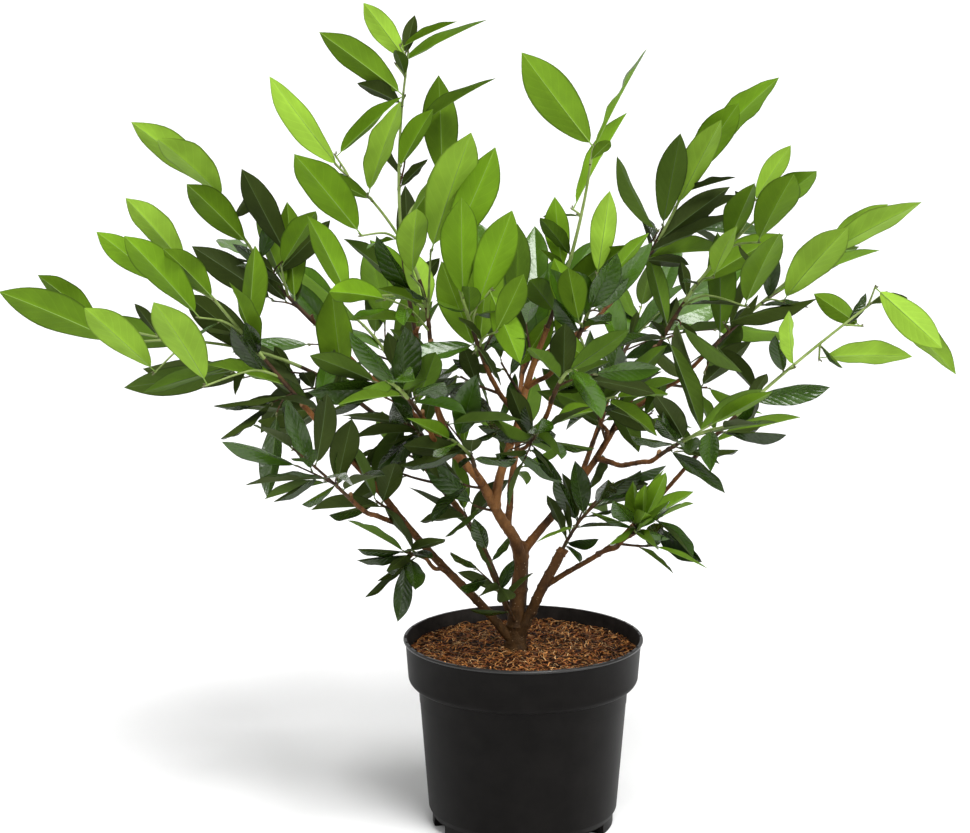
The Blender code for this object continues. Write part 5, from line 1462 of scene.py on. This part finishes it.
# The pot stands in the way as a plain block, and so does every limb and every twig.
POT_BLOCK_SIDES = 24
POT_BLOCK_MARGIN = 0.002
wide = RIM_RADIUS + POT_BLOCK_MARGIN
levels = (0.0, POT_HEIGHT + POT_BLOCK_MARGIN)
rim = [(wide * math.cos(angle), wide * math.sin(angle)) for angle in circle(POT_BLOCK_SIDES)]
block = [Vector((x, y, z)) for z in levels for x, y in rim]
lids = [tuple(range(POT_BLOCK_SIDES)), tuple(range(POT_BLOCK_SIDES, 2 * POT_BLOCK_SIDES))]
obstacles = [obstacle("pot", block, lids + ring_faces(2, POT_BLOCK_SIDES))]
for name, (path, radii) in limbs.items():
    obstacles.append(obstacle(name, *tube(path, radii, LIMB_SIDES)))
for mass, twigs in twigs_of.items():
    for twig in twigs:
        obstacles.append(obstacle(mass, *tube(twig["line"], twig["radii"], 3)))
print("obstacles", len(obstacles))

# %% Leaves that find room
LEAF_CLEARANCE = 0.0008
BLADE_FROM = 0.16
TRY_TURNS_DEG = (0.0, 20.0, -20.0, 40.0, -40.0, 65.0, -65.0, 90.0, -90.0, 130.0, 180.0)
BIG_LEAF_SEED = 500


def place_leaf(plan, owner, family, **facts):
    """Try a leaf at each turn; a list with the leaf where it is free, else an empty one."""
    root = plan["root"]
    length = plan["length"]
    for extra in TRY_TURNS_DEG:
        direction, face = leaf_pose(plan, extra)
        if not is_free(*plain_blade(root, direction, face, length, LEAF_CLEARANCE), obstacles, owner):
            continue
        blade = (root + direction * length * BLADE_FROM, direction, face, length * (1.0 - BLADE_FROM), 0.0)
        if not is_free(*plain_blade(*blade), family, None):
            continue
        obstacles.append(obstacle(owner, *plain_blade(root, direction, face, length, 0.0)))
        family.append(obstacles[-1])
        leaf = {"root": root, "direction": direction, "face": face, "length": length, "run": plan["run"]}
        return [{**leaf, **facts}]
    return []


def family_of(mass):
    """Twigs and leaves that a mass has so far."""
    return [other for other in obstacles if other["owner"] == mass]


leaves = []
for number, (mass, twigs) in enumerate(twigs_of.items()):
    dice = random.Random(BIG_LEAF_SEED + number)
    family = family_of(mass)
    for shoot, twig in enumerate(twigs):
        for place, plan in enumerate(leaf_plans(twig, dice)):
            leaves += place_leaf(plan, mass, family, mass=mass, shoot=shoot, number=place, of=twig["count"])
print("leaves", len(leaves))

# %% [markdown]
# ## Small leaves
# Between the big leaves of its long shoots a laurel carries many small ones: on the lower
# part of each twig, and on short sprouts that break from the boughs in the shade of the
# crown. They grow by the same rule after the big ones, and only where there is room.

# %% Small leaves on the twigs
SMALL_LENGTH = (0.030, 0.054)
SMALL_PLACES = (0.06, 0.62)
SMALL_LIFT = 0.05
SMALL_BACK_FROM_Y = 0.06
SMALL_SPREAD_DEG = (38.0, 62.0)
SMALL_TWIST_DEG = 30.0
SMALL_LEAF_SEED = 700
NO_SHOOT = 9


def small_plan(line, place, length, lift, dice):
    """A wish for one small leaf at a place on a twig."""
    point, run = along(line, place)
    return wish(
        point, run, point, SMALL_BACK_FROM_Y,
        aim=None,
        azimuth=dice.uniform(0.0, 360.0),
        spread=dice.uniform(*SMALL_SPREAD_DEG),
        length=length,
        lift=lift,
        cup=CUP,
        level=FACE_UP_LEVEL,
        twist=dice.uniform(-SMALL_TWIST_DEG, SMALL_TWIST_DEG),
    )


big_count = len(leaves)
for number, (mass, twigs) in enumerate(twigs_of.items()):
    dice = random.Random(SMALL_LEAF_SEED + number)
    family = family_of(mass)
    for twig in twigs:
        place = dice.uniform(*SMALL_PLACES)
        plan = small_plan(twig["line"], place, dice.uniform(*SMALL_LENGTH), SMALL_LIFT, dice)
        leaves += place_leaf(plan, mass, family, mass=mass, shoot=NO_SHOOT, number=1, of=2)
print("small leaves on twigs", len(leaves) - big_count)

# %% Sprout sizes
# bough, the mass whose colours its sprouts take, and how many sprouts
SPROUTED = (
    ("bough_left_main", "leaves_inner_front", 2),
    ("bough_centre", "leaves_inner_centre", 3),
    ("bough_right_main", "leaves_inner_right", 3),
    ("stem_left_low", "leaves_low_left", 3),
    ("stem_left_second", "leaves_inner_left", 3),
    ("bough_right_long", "leaves_low_right", 3),
    ("bough_centre_front", "leaves_inner_centre", 1),
    ("bough_left_rising", "leaves_inner_front", 1),
    ("bough_right_side", "leaves_inner_right", 1),
    ("bough_back", "leaves_back", 3),
    ("bough_back_left", "leaves_back_left", 2),
    ("bough_back_right", "leaves_back_right", 2),
)
SPROUT_LENGTH = (0.018, 0.045)
SPROUT_PLACES = (0.30, 0.97)
SPROUT_LEAVES = (2, 4)
SPROUT_LEAF = (0.042, 0.070)
SPROUT_LEAFY = 0.75
SPROUT_LIFT = 0.10
SPROUT_ALONG, SPROUT_UPWARD = 0.8, 0.30
SPROUT_INSIDE = 0.6
SPROUT_BEND_AT = 0.55
SPROUT_BEND = 0.12
SPROUT_RADIUS = 0.0012
SPROUT_TRIES = 12
SPROUT_SEED = 800


# %% Sprouts on the boughs
def sprout_line(bough, dice):
    """A short twig that leaves a bough sideways and turns up a little."""
    path, radii = limbs[bough]
    place = dice.uniform(*SPROUT_PLACES)
    point, run = along(path, place)
    side = run.orthogonal().normalized()
    side.rotate(Matrix.Rotation(dice.uniform(*ANY_ANGLE), 3, run))
    heading = (run * SPROUT_ALONG + side + UP * SPROUT_UPWARD).normalized()
    length = dice.uniform(*SPROUT_LENGTH)
    start = point + side * thickness_at(radii, place) * SPROUT_INSIDE
    middle = start + heading * length * SPROUT_BEND_AT
    bent = (heading + UP * SPROUT_BEND).normalized()
    return [start, middle, middle + bent * length * (1.0 - SPROUT_BEND_AT)]


def leaves_on_sprout(line, mass, owner, dice):
    """The leaves that find room on one sprout."""
    family = family_of(owner)
    found = []
    amount = dice.randint(*SPROUT_LEAVES)
    for number in range(amount):
        place = min(END_LEAF_PLACE, 1.0 - SPROUT_LEAFY * number / amount)
        plan = small_plan(line, place, dice.uniform(*SPROUT_LEAF), SPROUT_LIFT, dice)
        plan["azimuth"] = number * LEAF_TURN_DEG + dice.uniform(-LOOSE_TURN_DEG, LOOSE_TURN_DEG)
        found += place_leaf(plan, owner, family, mass=mass, shoot=NO_SHOOT, number=number, of=amount)
    return found


sprouts = []
for number, (bough, mass, count) in enumerate(SPROUTED):
    dice = random.Random(SPROUT_SEED + number)
    made = 0
    for _ in range(SPROUT_TRIES):
        line = sprout_line(bough, dice)
        rod = tube(line, [SPROUT_RADIUS] * 3, 3)
        if made == count or not is_free(*rod, obstacles, bough):
            continue
        made += 1
        owner = "%s_sprout_%d" % (bough, made)
        obstacles.append(obstacle(owner, *rod))
        found = leaves_on_sprout(line, mass, owner, dice)
        leaves += found
        sprouts += [line] if found else []
print("sprouts", len(sprouts), "leaves in all", len(leaves))

# %% [markdown]
# ## The leaf itself
# A laurel leaf is a long oval, widest just past its middle, with a short drawn-out tip.
# It folds up a little along its rib, arches back toward the tip and waves at its edges;
# old leaves are slimmer and folded more. Its upper side is dark and glossy, its under
# side pale and dull and painted brighter still, as painted light shining through the leaf.
# So a leaf is a closed shell with two skins that share their edge, and each skin has a
# finish of its own. Young leaves are bright and old ones dark: six greens are dealt out
# leaf by leaf. Some old leaves have turned their glossy side out.

# %% Leaf shape
ROWS = 16
COLUMNS = 8
STALK_SHARE = 0.075
END_ROWS = 0.45
OUTLINE_PEAK = 1.10
OUTLINE_BODY = 0.64
OUTLINE_POINT = 0.34
STALK_WIDTH = 0.006
FRESH_FROM = 3
FRESH_WIDTH = (1.02, 1.22)
OLD_WIDTH = (0.82, 1.04)
SMALL_WIDTH = (1.10, 1.32)
SMALL_BELOW = 0.072
END_FOLD_DEG = (14.0, 32.0)
SIDE_FOLD_DEG = (18.0, 42.0)
OLD_FOLD_DEG = (14.0, 44.0)
EDGE_LAPS = (1.6, 3.2)
EDGE_WAVE = (0.02, 0.10)
EDGE_ROLL = (0.00, 0.16)
BLADE_TWIST_DEG = 32.0
BLADE_SWEEP = 0.035
ARCH_LESS, ARCH_MORE = -0.04, 0.07
SKIN_APART = 0.00030
LEAF_CREASE_DEG = 24.0


def row_places():
    """Places of the rows along a blade, closer together at both ends."""
    even = np.linspace(0.0, 1.0, ROWS + 1)
    return even * (1.0 - END_ROWS) + (0.5 - 0.5 * np.cos(np.pi * even)) * END_ROWS


def blade_grid(leaf, dice):
    """Middle surface of a blade: rows from its base to its tip, columns edge to edge."""
    length = leaf["length"]
    fresh = leaf["green"] >= FRESH_FROM
    row = row_places()[:, None]
    column = np.linspace(-1.0, 1.0, COLUMNS + 1)[None, :]
    out = np.abs(column)
    reach = STALK_SHARE + (1.0 - STALK_SHARE) * row
    # the outline, whose half width is nothing at both ends
    round_part = np.sin(np.pi * np.minimum(row, 0.9999) ** OUTLINE_PEAK)
    full = round_part ** (OUTLINE_BODY + OUTLINE_POINT * row ** 4)
    widths = SMALL_WIDTH if length < SMALL_BELOW else FRESH_WIDTH if fresh else OLD_WIDTH
    width = LEAF_WIDTH * dice.uniform(*widths)
    half_width = 0.5 * width * full + STALK_WIDTH * (1.0 - row)
    # the fold along the rib, the waved edge and its roll
    folds = SIDE_FOLD_DEG if fresh else OLD_FOLD_DEG
    fold_angle = math.radians(dice.uniform(*(folds if leaf["number"] else END_FOLD_DEG)))
    fold_angle *= -1.0 if leaf["turned"] else 1.0
    x = column * half_width * math.cos(fold_angle * 0.8)
    fold = math.sin(fold_angle) * out * half_width
    lap = dice.uniform(*EDGE_LAPS)
    phase = np.where(column < 0.0, dice.uniform(*ANY_ANGLE), dice.uniform(*ANY_ANGLE))
    wave = dice.uniform(*EDGE_WAVE) * half_width * out ** 1.6 * np.sin(2.0 * np.pi * lap * row + phase)
    z = fold + wave - dice.uniform(*EDGE_ROLL) * half_width * out ** 3
    # the twist, the sideways sweep and the arch of the whole blade
    twist = math.radians(dice.uniform(-BLADE_TWIST_DEG, BLADE_TWIST_DEG)) * row ** 1.3
    sweep = dice.uniform(-BLADE_SWEEP, BLADE_SWEEP) * reach ** 2
    arch = (LEAF_ARCH + dice.uniform(ARCH_LESS, ARCH_MORE)) * reach ** 2
    turned_x = x * np.cos(twist) - z * np.sin(twist) + sweep
    turned_z = x * np.sin(twist) + z * np.cos(twist) - arch
    side = leaf["direction"].cross(leaf["face"])
    return np.array(leaf["root"])[None, None, :] + length * (
        (reach * np.ones_like(x))[..., None] * np.array(leaf["direction"])
        + turned_x[..., None] * np.array(side)
        + turned_z[..., None] * np.array(leaf["face"])
    )


# %% Leaf shell
def shell_pattern():
    """Faces of a leaf's shell, and which of them belong to the under side."""
    top = [[i * (COLUMNS + 1) + j for j in range(COLUMNS + 1)] for i in range(ROWS)]
    tip = ROWS * (COLUMNS + 1)
    under = [line[:] for line in top]
    for i in range(1, ROWS):
        under[i][1:-1] = [tip + (i - 1) * (COLUMNS - 1) + j for j in range(1, COLUMNS)]
    faces = []
    for i in range(ROWS - 1):
        for j in range(COLUMNS):
            faces.append((top[i][j], top[i][j + 1], top[i + 1][j + 1], top[i + 1][j]))
            faces.append((under[i][j], under[i + 1][j], under[i + 1][j + 1], under[i][j + 1]))
    for j in range(COLUMNS):
        faces += [(top[-1][j], top[-1][j + 1], tip), (under[-1][j], tip, under[-1][j + 1])]
    return faces, [0, 1] * (len(faces) // 2)


def shell_points(grid):
    """Points of both skins of a leaf in the order the pattern expects."""
    square = np.cross(np.gradient(grid, axis=1), np.gradient(grid, axis=0))
    normals = square / np.maximum(np.linalg.norm(square, axis=2, keepdims=True), 1e-12)
    upper = grid.copy()
    upper[1:, 1:-1] += normals[1:, 1:-1] * SKIN_APART * 0.5
    lower = grid[1:ROWS, 1:-1] - normals[1:ROWS, 1:-1] * SKIN_APART * 0.5
    return both_skins(upper, lower, grid[ROWS, COLUMNS // 2])


def both_skins(upper, lower, tip):
    """One list of the upper skin's rows, the tip and the inner part of the under skin."""
    size = upper.shape[2]
    return np.concatenate([upper[:ROWS].reshape(-1, size), tip[None, :], lower.reshape(-1, size)])


def shell_map():
    """Map of both skins: across the blade and along it."""
    flat = np.stack(np.meshgrid(np.linspace(0.0, 1.0, COLUMNS + 1), row_places()), axis=2)
    return both_skins(flat, flat[1:ROWS, 1:-1], np.array([0.5, 1.0]))


PATTERN, PATTERN_SIDES = shell_pattern()
PATTERN_MAP = shell_map()
print("faces in a leaf", len(PATTERN))

# %% Leaf finishes
# green of the upper side, green of the under side, from the oldest leaves to the youngest;
# the under side's green is painted brighter, as painted light shining through the leaf
GREENS = (
    ((0.0165, 0.0360, 0.0030), (0.0270, 0.0420, 0.0050)),
    ((0.0250, 0.0600, 0.0035), (0.0420, 0.0760, 0.0060)),
    ((0.0380, 0.0920, 0.0040), (0.0640, 0.1240, 0.0070)),
    ((0.0540, 0.1240, 0.0050), (0.0900, 0.1720, 0.0060)),
    ((0.0800, 0.1700, 0.0060), (0.1140, 0.2240, 0.0070)),
    ((0.1300, 0.2500, 0.0150), (0.1950, 0.3350, 0.0280)),
)
PALER = 1.55
VEINS = 9.0
VEIN_SLANT = 0.50
QUILT_OLDEST = 0.26
QUILT_LESS = 0.04
LEAF_RELIEF = 0.7
UNDER_QUILT = 0.25
# roughness, crinkle, depth of the relief, shine and coat
UPPER_SIDE = (0.25, 0.60, 0.0010, 0.45, 0.10)
UNDER_SIDE = (0.62, 0.25, 0.0004, 0.12, 0.0)


def leaf_side(name, green, quilt, roughness, crinkle, depth, shine, coat):
    """One side's finish: its green, paler by rib and veins, and its fine relief."""
    material = finish(name, green, roughness, shine, coat)
    pale = tuple(part * PALER for part in green)
    skin = node(material.node_tree, "ShaderNodeGroup", {
        "Green": (*green, 1.0),
        "Pale": (*pale, 1.0),
        "Veins": VEINS,
        "Slant": VEIN_SLANT,
        "Quilt": quilt,
        "Crinkle": crinkle,
    }, node_tree=leaf_skin).outputs
    feed(material, "Base Color", skin["Colour"])
    relief(material, skin["Height"], depth, LEAF_RELIEF)
    return material


finishes = []
for number, (upper, under) in enumerate(GREENS):
    quilt = QUILT_OLDEST - QUILT_LESS * number
    finishes.append(leaf_side("leaf_upper_%d" % number, upper, quilt, *UPPER_SIDE))
    finishes.append(leaf_side("leaf_under_%d" % number, under, UNDER_QUILT, *UNDER_SIDE))
print("leaf finishes", len(finishes))

# %% Deal out the greens
SMALL_TONE = 0.10
AGEING = 0.20
LOOSE_TONE = 0.20
TURNED_SHARE = 0.55
LEAF_SEED = 9000


def green_of(leaf, dice):
    """Which green a leaf has: its shoot's freshness, less with age along the shoot."""
    tones = FRESHNESS[leaf["mass"]]
    tone = tones[leaf["shoot"]] if leaf["shoot"] < len(tones) else min(tones) + SMALL_TONE
    age = leaf["number"] / max(1, leaf["of"] - 1)
    value = tone - AGEING * age + dice.uniform(-LOOSE_TONE, LOOSE_TONE)
    return int(min(0.999, max(0.0, value)) * len(GREENS))


def is_turned(leaf, dice):
    """Whether an old leaf that would hide its glossy side has turned it out."""
    hidden = leaf["green"] < FRESH_FROM and leaf["face"].y * leaf["root"].y < 0.0
    return hidden and dice.random() < TURNED_SHARE


def sector_of(leaf):
    """Left, middle or right part of the crown, so that no joined piece grows too big."""
    if leaf["root"].x < -0.10:
        return "left"
    return "right" if leaf["root"].x > 0.07 else "middle"


for number, leaf in enumerate(leaves):
    dice = random.Random(LEAF_SEED + number)
    leaf["green"] = green_of(leaf, dice)
    leaf["turned"] = is_turned(leaf, dice)
    leaf["grid"] = blade_grid(leaf, dice)
print("greens", [sum(leaf["green"] == green for leaf in leaves) for green in range(len(GREENS))])


# %% Join the leaves
def make_leaves(sector):
    """One mesh with every leaf of a part of the crown."""
    mine = [leaf for leaf in leaves if sector_of(leaf) == sector]
    points = np.concatenate([shell_points(leaf["grid"]) for leaf in mine]).tolist()
    faces = []
    kinds = []
    for number, leaf in enumerate(mine):
        start = number * len(PATTERN_MAP)
        faces += [tuple(start + corner for corner in face) for face in PATTERN]
        kinds += [2 * leaf["green"] + (side + leaf["turned"]) % 2 for side in PATTERN_SIDES]
    piece = keep("leaves_" + sector, points, faces, finishes)
    piece.data.polygons.foreach_set("material_index", kinds)
    layer = piece.data.uv_layers.new(name="leaf_map")
    one_leaf = np.array([PATTERN_MAP[corner] for face in PATTERN for corner in face])
    layer.data.foreach_set("uv", np.tile(one_leaf, (len(mine), 1)).ravel())
    smooth(piece, LEAF_CREASE_DEG)
    return piece


SECTOR_SLOTS = {
    "left": "leaves_left_middle",
    "middle": "leaves_centre_front",
    "right": "leaves_right_upper",
}
stood_for = {sector: [] for sector in SECTOR_SLOTS}
for mass in twigs_of:
    owned = [sector_of(leaf) for leaf in leaves if leaf["mass"] == mass]
    stood_for[max(sorted(set(owned)), key=owned.count)].append(mass)
for sector, slot_name in SECTOR_SLOTS.items():
    foliage = make_leaves(sector)
    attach(foliage, "root")
    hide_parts(*stood_for[sector])
    print(foliage.name, triangles(foliage), "triangles, for", len(stood_for[sector]), "masses")

# %% [markdown]
# ## Ribs and stalks
# A leaf hangs on a short stalk that runs on through the blade as its rib: a pale line in
# a groove above, a raised cord below. Both are one slim four-sided rod that follows the
# blade's middle and stands a hair proud of each skin.

# %% Ribs
RIB_RADIUS = 0.00070
RIB_TIP_RADIUS = 0.00014
RIB_TAPER = 0.7
RIB_SINK = 0.42
USUAL_LEAF = 0.09
RIB_CREASE_DEG = 80.0


def rib_skin(leaf):
    """Rod from the twig through the middle of the blade."""
    size = math.sqrt(leaf["length"] / USUAL_LEAF)
    side = leaf["direction"].cross(leaf["face"])
    centres = [leaf["root"]] + [Vector(leaf["grid"][i, COLUMNS // 2]) for i in range(0, ROWS + 1, 2)]
    points = []
    for number, centre in enumerate(centres):
        share = number / (len(centres) - 1)
        radius = size * (RIB_RADIUS + (RIB_TIP_RADIUS - RIB_RADIUS) * share ** RIB_TAPER)
        middle = centre - leaf["face"] * radius * RIB_SINK
        for x, z in ((1.0, 0.0), (0.0, 1.0), (-1.0, 0.0), (0.0, -1.0)):
            points.append(middle + side * radius * x + leaf["face"] * radius * z)
    last = len(points) - 4
    ends = [(0, 1, 2, 3), (last + 3, last + 2, last + 1, last)]
    return points, ring_faces(len(centres), 4, inward=True) + ends


fresh_rib = finish("fresh_rib", (0.190, 0.310, 0.050), 0.5, shine=0.3)
old_rib = finish("old_rib", (0.060, 0.098, 0.024), 0.5, shine=0.3)
skins = [(*rib_skin(leaf), 0 if leaf["green"] >= FRESH_FROM else 1) for leaf in leaves]
ribs = join_skins("leaf_ribs_and_stalks", skins, [fresh_rib, old_rib])
smooth(ribs, RIB_CREASE_DEG)
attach(ribs, "root")
print("ribs", triangles(ribs), "triangles")

# %% [markdown]
# ## Twigs
# A twig is a round rod of slowly changing thickness that follows a line, so Geometry
# Nodes make it: each line is a curve whose points carry a radius, thicker at every leaf,
# and Curve to Mesh sweeps a small circle along it. The outer part of a fresh shoot is
# this year's green wood, the inner part has begun to brown, and old twigs are all dark.

# %% Twig lines as curves
TWIG_STEP = 0.0022
TWIG_SIDES = 8
TWIG_CREASE_DEG = 60.0
LEAD_LOOK = (0.92, 0.62)
SIDE_LOOK = (0.62, 0.50)
SPROUT_LOOK = (0.95, 0.90)
SPROUT_TAPER = (1.3, 1.0, 0.8)
OLD_LOOK = 0.80
NODE_RISE = 0.28
NODE_WIDTH = 0.0014
BROWN_SHARE = 0.34
FRESH_SHOOT = 0.45
TWIG_OVERLAP = 0.0040
NEAR_SPROUT = 0.05


def twig_points(line, radii, roots, look):
    """Close points along a twig with a radius that swells at each leaf."""
    steps = max(6, int(length_of(line) / TWIG_STEP))
    made = []
    for step in range(steps + 1):
        share = step / steps
        centre = smooth_point(line, share)
        nearest = min([(centre - root).length for root in roots] or [1.0])
        swell = 1.0 + NODE_RISE * math.exp(-((nearest / NODE_WIDTH) ** 2))
        slim = look[0] + (look[1] - look[0]) * share
        made.append((centre, thickness_at(radii, share) * slim * swell))
    return made


def rod_curve(name, rods):
    """A curve object with one open spline for each rod."""
    data = bpy.data.curves.new(name, "CURVE")
    data.dimensions = "3D"
    for rod in rods:
        spline = data.splines.new("POLY")
        spline.points.add(len(rod) - 1)
        for point, (centre, radius) in zip(spline.points, rod):
            point.co = (*centre, 1.0)
            point.radius = radius
    return put(name, data)


def sweep_tree():
    """Sweep a circle along curves, as thick as each point's radius."""
    inputs = (("Lines", "Geometry"), ("Sides", "Int", TWIG_SIDES), ("Finish", "Material"))
    tree, given = new_tree("sweep_twigs", GEOMETRY, inputs, (("Twigs", "Geometry"),))
    round_one = {"Resolution": given["Sides"], "Radius": 1.0}
    rods = node(tree, "GeometryNodeCurveToMesh", {
        "Curve": given["Lines"],
        "Profile Curve": node(tree, "GeometryNodeCurvePrimitiveCircle", round_one).outputs[0],
        "Scale": node(tree, "GeometryNodeInputRadius").outputs[0],
        "Fill Caps": True,
    })
    node(tree, "NodeGroupOutput", {0: painted(tree, rods.outputs[0], given["Finish"])})
    return tree


# %% Sort green wood from brown
def shoot_rods(twig, tone, fresh_mass, roots):
    """The brown and the green part of one shoot."""
    lead = twig["lead"]
    fresh = fresh_mass and (lead or tone > FRESH_SHOOT)
    look = [part * (1.0 if fresh else OLD_LOOK) for part in (LEAD_LOOK if lead else SIDE_LOOK)]
    rod = twig_points(twig["line"], twig["radii"], roots, look)
    if lead:
        back = (rod[0][0] - rod[1][0]).normalized() * TWIG_OVERLAP
        rod.insert(0, (rod[0][0] + back, rod[0][1]))
    if not fresh:
        return rod, []
    cut = int(len(rod) * BROWN_SHARE) if lead else 1
    return rod[: cut + 1], rod[cut:]


brown_rods = []
green_rods = []
for mass, twigs in twigs_of.items():
    tones = FRESHNESS[mass]
    roots = [leaf["root"] for leaf in leaves if leaf["mass"] == mass]
    for number, twig in enumerate(twigs):
        brown, green = shoot_rods(twig, tones[number], max(tones) > FRESH_SHOOT, roots)
        brown_rods.append(brown)
        green_rods.append(green)
for line in sprouts:
    roots = [leaf["root"] for leaf in leaves if (leaf["root"] - line[1]).length < NEAR_SPROUT]
    radii = [SPROUT_RADIUS * part for part in SPROUT_TAPER]
    brown_rods.append(twig_points(line, radii, roots, SPROUT_LOOK))
print("rods", len(brown_rods), "brown,", len(green_rods), "green")

# %% Make the twigs
green_wood = finish("green_wood", (0.190, 0.260, 0.065), 0.5, shine=0.25)
clouded(green_wood, 60.0, (0.130, 0.190, 0.035), (0.270, 0.350, 0.110))
brown_wood = finish("brown_wood", (0.050, 0.028, 0.011), 0.6, shine=0.25)
cloud = clouded(brown_wood, 120.0, (0.014, 0.008, 0.003), (0.080, 0.038, 0.013))
relief(brown_wood, cloud["Height"], 0.0006, 0.6)
sweeping = sweep_tree()
for name, rods, wood in (("green_twigs", green_rods, green_wood), ("brown_twigs", brown_rods, brown_wood)):
    lines = rod_curve(name + "_lines", [rod for rod in rods if len(rod) > 1])
    twig_piece = put(name, grown_mesh(lines, sweeping, Sides=TWIG_SIDES, Finish=wood))
    bpy.data.objects.remove(lines, do_unlink=True)
    outward(twig_piece)
    smooth(twig_piece, TWIG_CREASE_DEG)
    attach(twig_piece, "root")
    print(name, triangles(twig_piece), "triangles")

# %% [markdown]
# ## Buds and cut stubs
# A small pointed bud sits above every leaf stalk and a longer one ends each shoot. Where
# the plant was pruned, a bough's old end stands beside the new shoot as a short stub with
# a pale cut face.

# %% Buds
BUD_LENGTH = 0.0034
BUD_RADIUS = 0.0008
BUD_UP_TWIG = 0.0016
BUD_LEAN = 0.7
END_BUD_LENGTH = 0.0044
END_BUD_SWELL = 1.3
END_BUD_SINK = 0.001
BUD_SIDES = 6
BUD_RINGS = ((0.0, 0.55), (0.25, 1.0), (0.55, 0.85), (0.85, 0.35))
BUD_CREASE_DEG = 60.0


def pointed_bud(base, axis, length, radius):
    """A slim drop with a closed foot and a pointed tip."""
    across = axis.orthogonal().normalized()
    other = axis.cross(across)
    points = []
    for share, fullness in BUD_RINGS:
        for angle in circle(BUD_SIDES):
            points.append(base + axis * length * share + spoke(across, other, angle) * radius * fullness)
    points.append(base + axis * length)
    top = (len(BUD_RINGS) - 1) * BUD_SIDES
    cone = [(top + step, top + (step + 1) % BUD_SIDES, len(points) - 1) for step in range(BUD_SIDES)]
    return points, [tuple(reversed(range(BUD_SIDES)))] + ring_faces(len(BUD_RINGS), BUD_SIDES) + cone


skins = []
for leaf in leaves:
    run = leaf["run"]
    away = (leaf["direction"] - run * leaf["direction"].dot(run)).normalized()
    base = leaf["root"] + away * TWIG_TIP_RADIUS * 0.7 + run * BUD_UP_TWIG
    skins.append((*pointed_bud(base, (run + away * BUD_LEAN).normalized(), BUD_LENGTH, BUD_RADIUS), 0))
for twig in (twig for twigs in twigs_of.values() for twig in twigs):
    end = twig["line"][-1]
    run = (end - twig["line"][-2]).normalized()
    base = end - run * END_BUD_SINK
    skins.append((*pointed_bud(base, run, END_BUD_LENGTH, BUD_RADIUS * END_BUD_SWELL), 1))
side_bud = finish("side_bud", (0.110, 0.115, 0.040), 0.5)
end_bud = finish("end_bud", (0.120, 0.130, 0.045), 0.45)
buds = join_skins("buds", skins, [side_bud, end_bud])
smooth(buds, BUD_CREASE_DEG)
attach(buds, "root")
print("buds", triangles(buds), "triangles")

# %% Cut stubs
STUB_LENGTH = 0.0060
STUB_SIDES = 14
STUB_RINGS = ((0.0, 1.25), (0.35, 1.0), (0.92, 1.04), (1.0, 0.90))
STUB_SLANT = 0.0012
STUB_LEAN = 0.55
STUB_TURN = 1.3
STUB_SINK = 0.003
STUB_SWELL = 1.05
STUB_CREASE_DEG = 50.0
THIN_TIP_MM = 2.0


def stub_points(base, axis, radius):
    """Rings of a short peg with a slightly bevelled, slanted cut."""
    across = axis.orthogonal().normalized()
    other = axis.cross(across)
    points = []
    for reach, size in STUB_RINGS:
        for angle in circle(STUB_SIDES):
            slant = STUB_SLANT * math.cos(angle) if reach > 0.5 else 0.0
            ray = spoke(across, other, angle)
            points.append(base + axis * (STUB_LENGTH * reach + slant) + ray * radius * size)
    return points


def make_stubs():
    """A stub beside each new shoot, but not on the thinnest boughs."""
    side = ring_faces(len(STUB_RINGS), STUB_SIDES) + [tuple(reversed(range(STUB_SIDES)))]
    cut = [tuple(range(3 * STUB_SIDES, 4 * STUB_SIDES))]
    skins = []
    for number, (name, *_, tip_mm) in enumerate(BOUGHS):
        if tip_mm < THIN_TIP_MM:
            continue
        path = limbs[name][0]
        run = (path[-1] - path[-2]).normalized()
        lean = run.orthogonal().normalized()
        lean.rotate(Matrix.Rotation(STUB_TURN * number, 3, run))
        axis = (run + lean * STUB_LEAN).normalized()
        points = stub_points(path[-1] - run * STUB_SINK, axis, tip_mm / MM_PER_METRE * STUB_SWELL)
        skins += [(points, side, 0), (points, cut, 1)]
    cut_wood = finish("cut_wood", (0.200, 0.105, 0.040), 0.7)
    stubs = join_skins("cut_stubs", skins, [bark.data.materials[0], cut_wood])
    # the cut face came with points of its own: merge them, and drop those left over
    shape = bmesh.new()
    shape.from_mesh(stubs.data)
    bmesh.ops.remove_doubles(shape, verts=shape.verts, dist=1e-6)
    loose = [vertex for vertex in shape.verts if not vertex.link_faces]
    bmesh.ops.delete(shape, geom=loose, context="VERTS")
    shape.to_mesh(stubs.data)
    shape.free()
    smooth(stubs, STUB_CREASE_DEG)
    return stubs


stubs = make_stubs()
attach(stubs, "root")
print("stubs", triangles(stubs), "triangles")
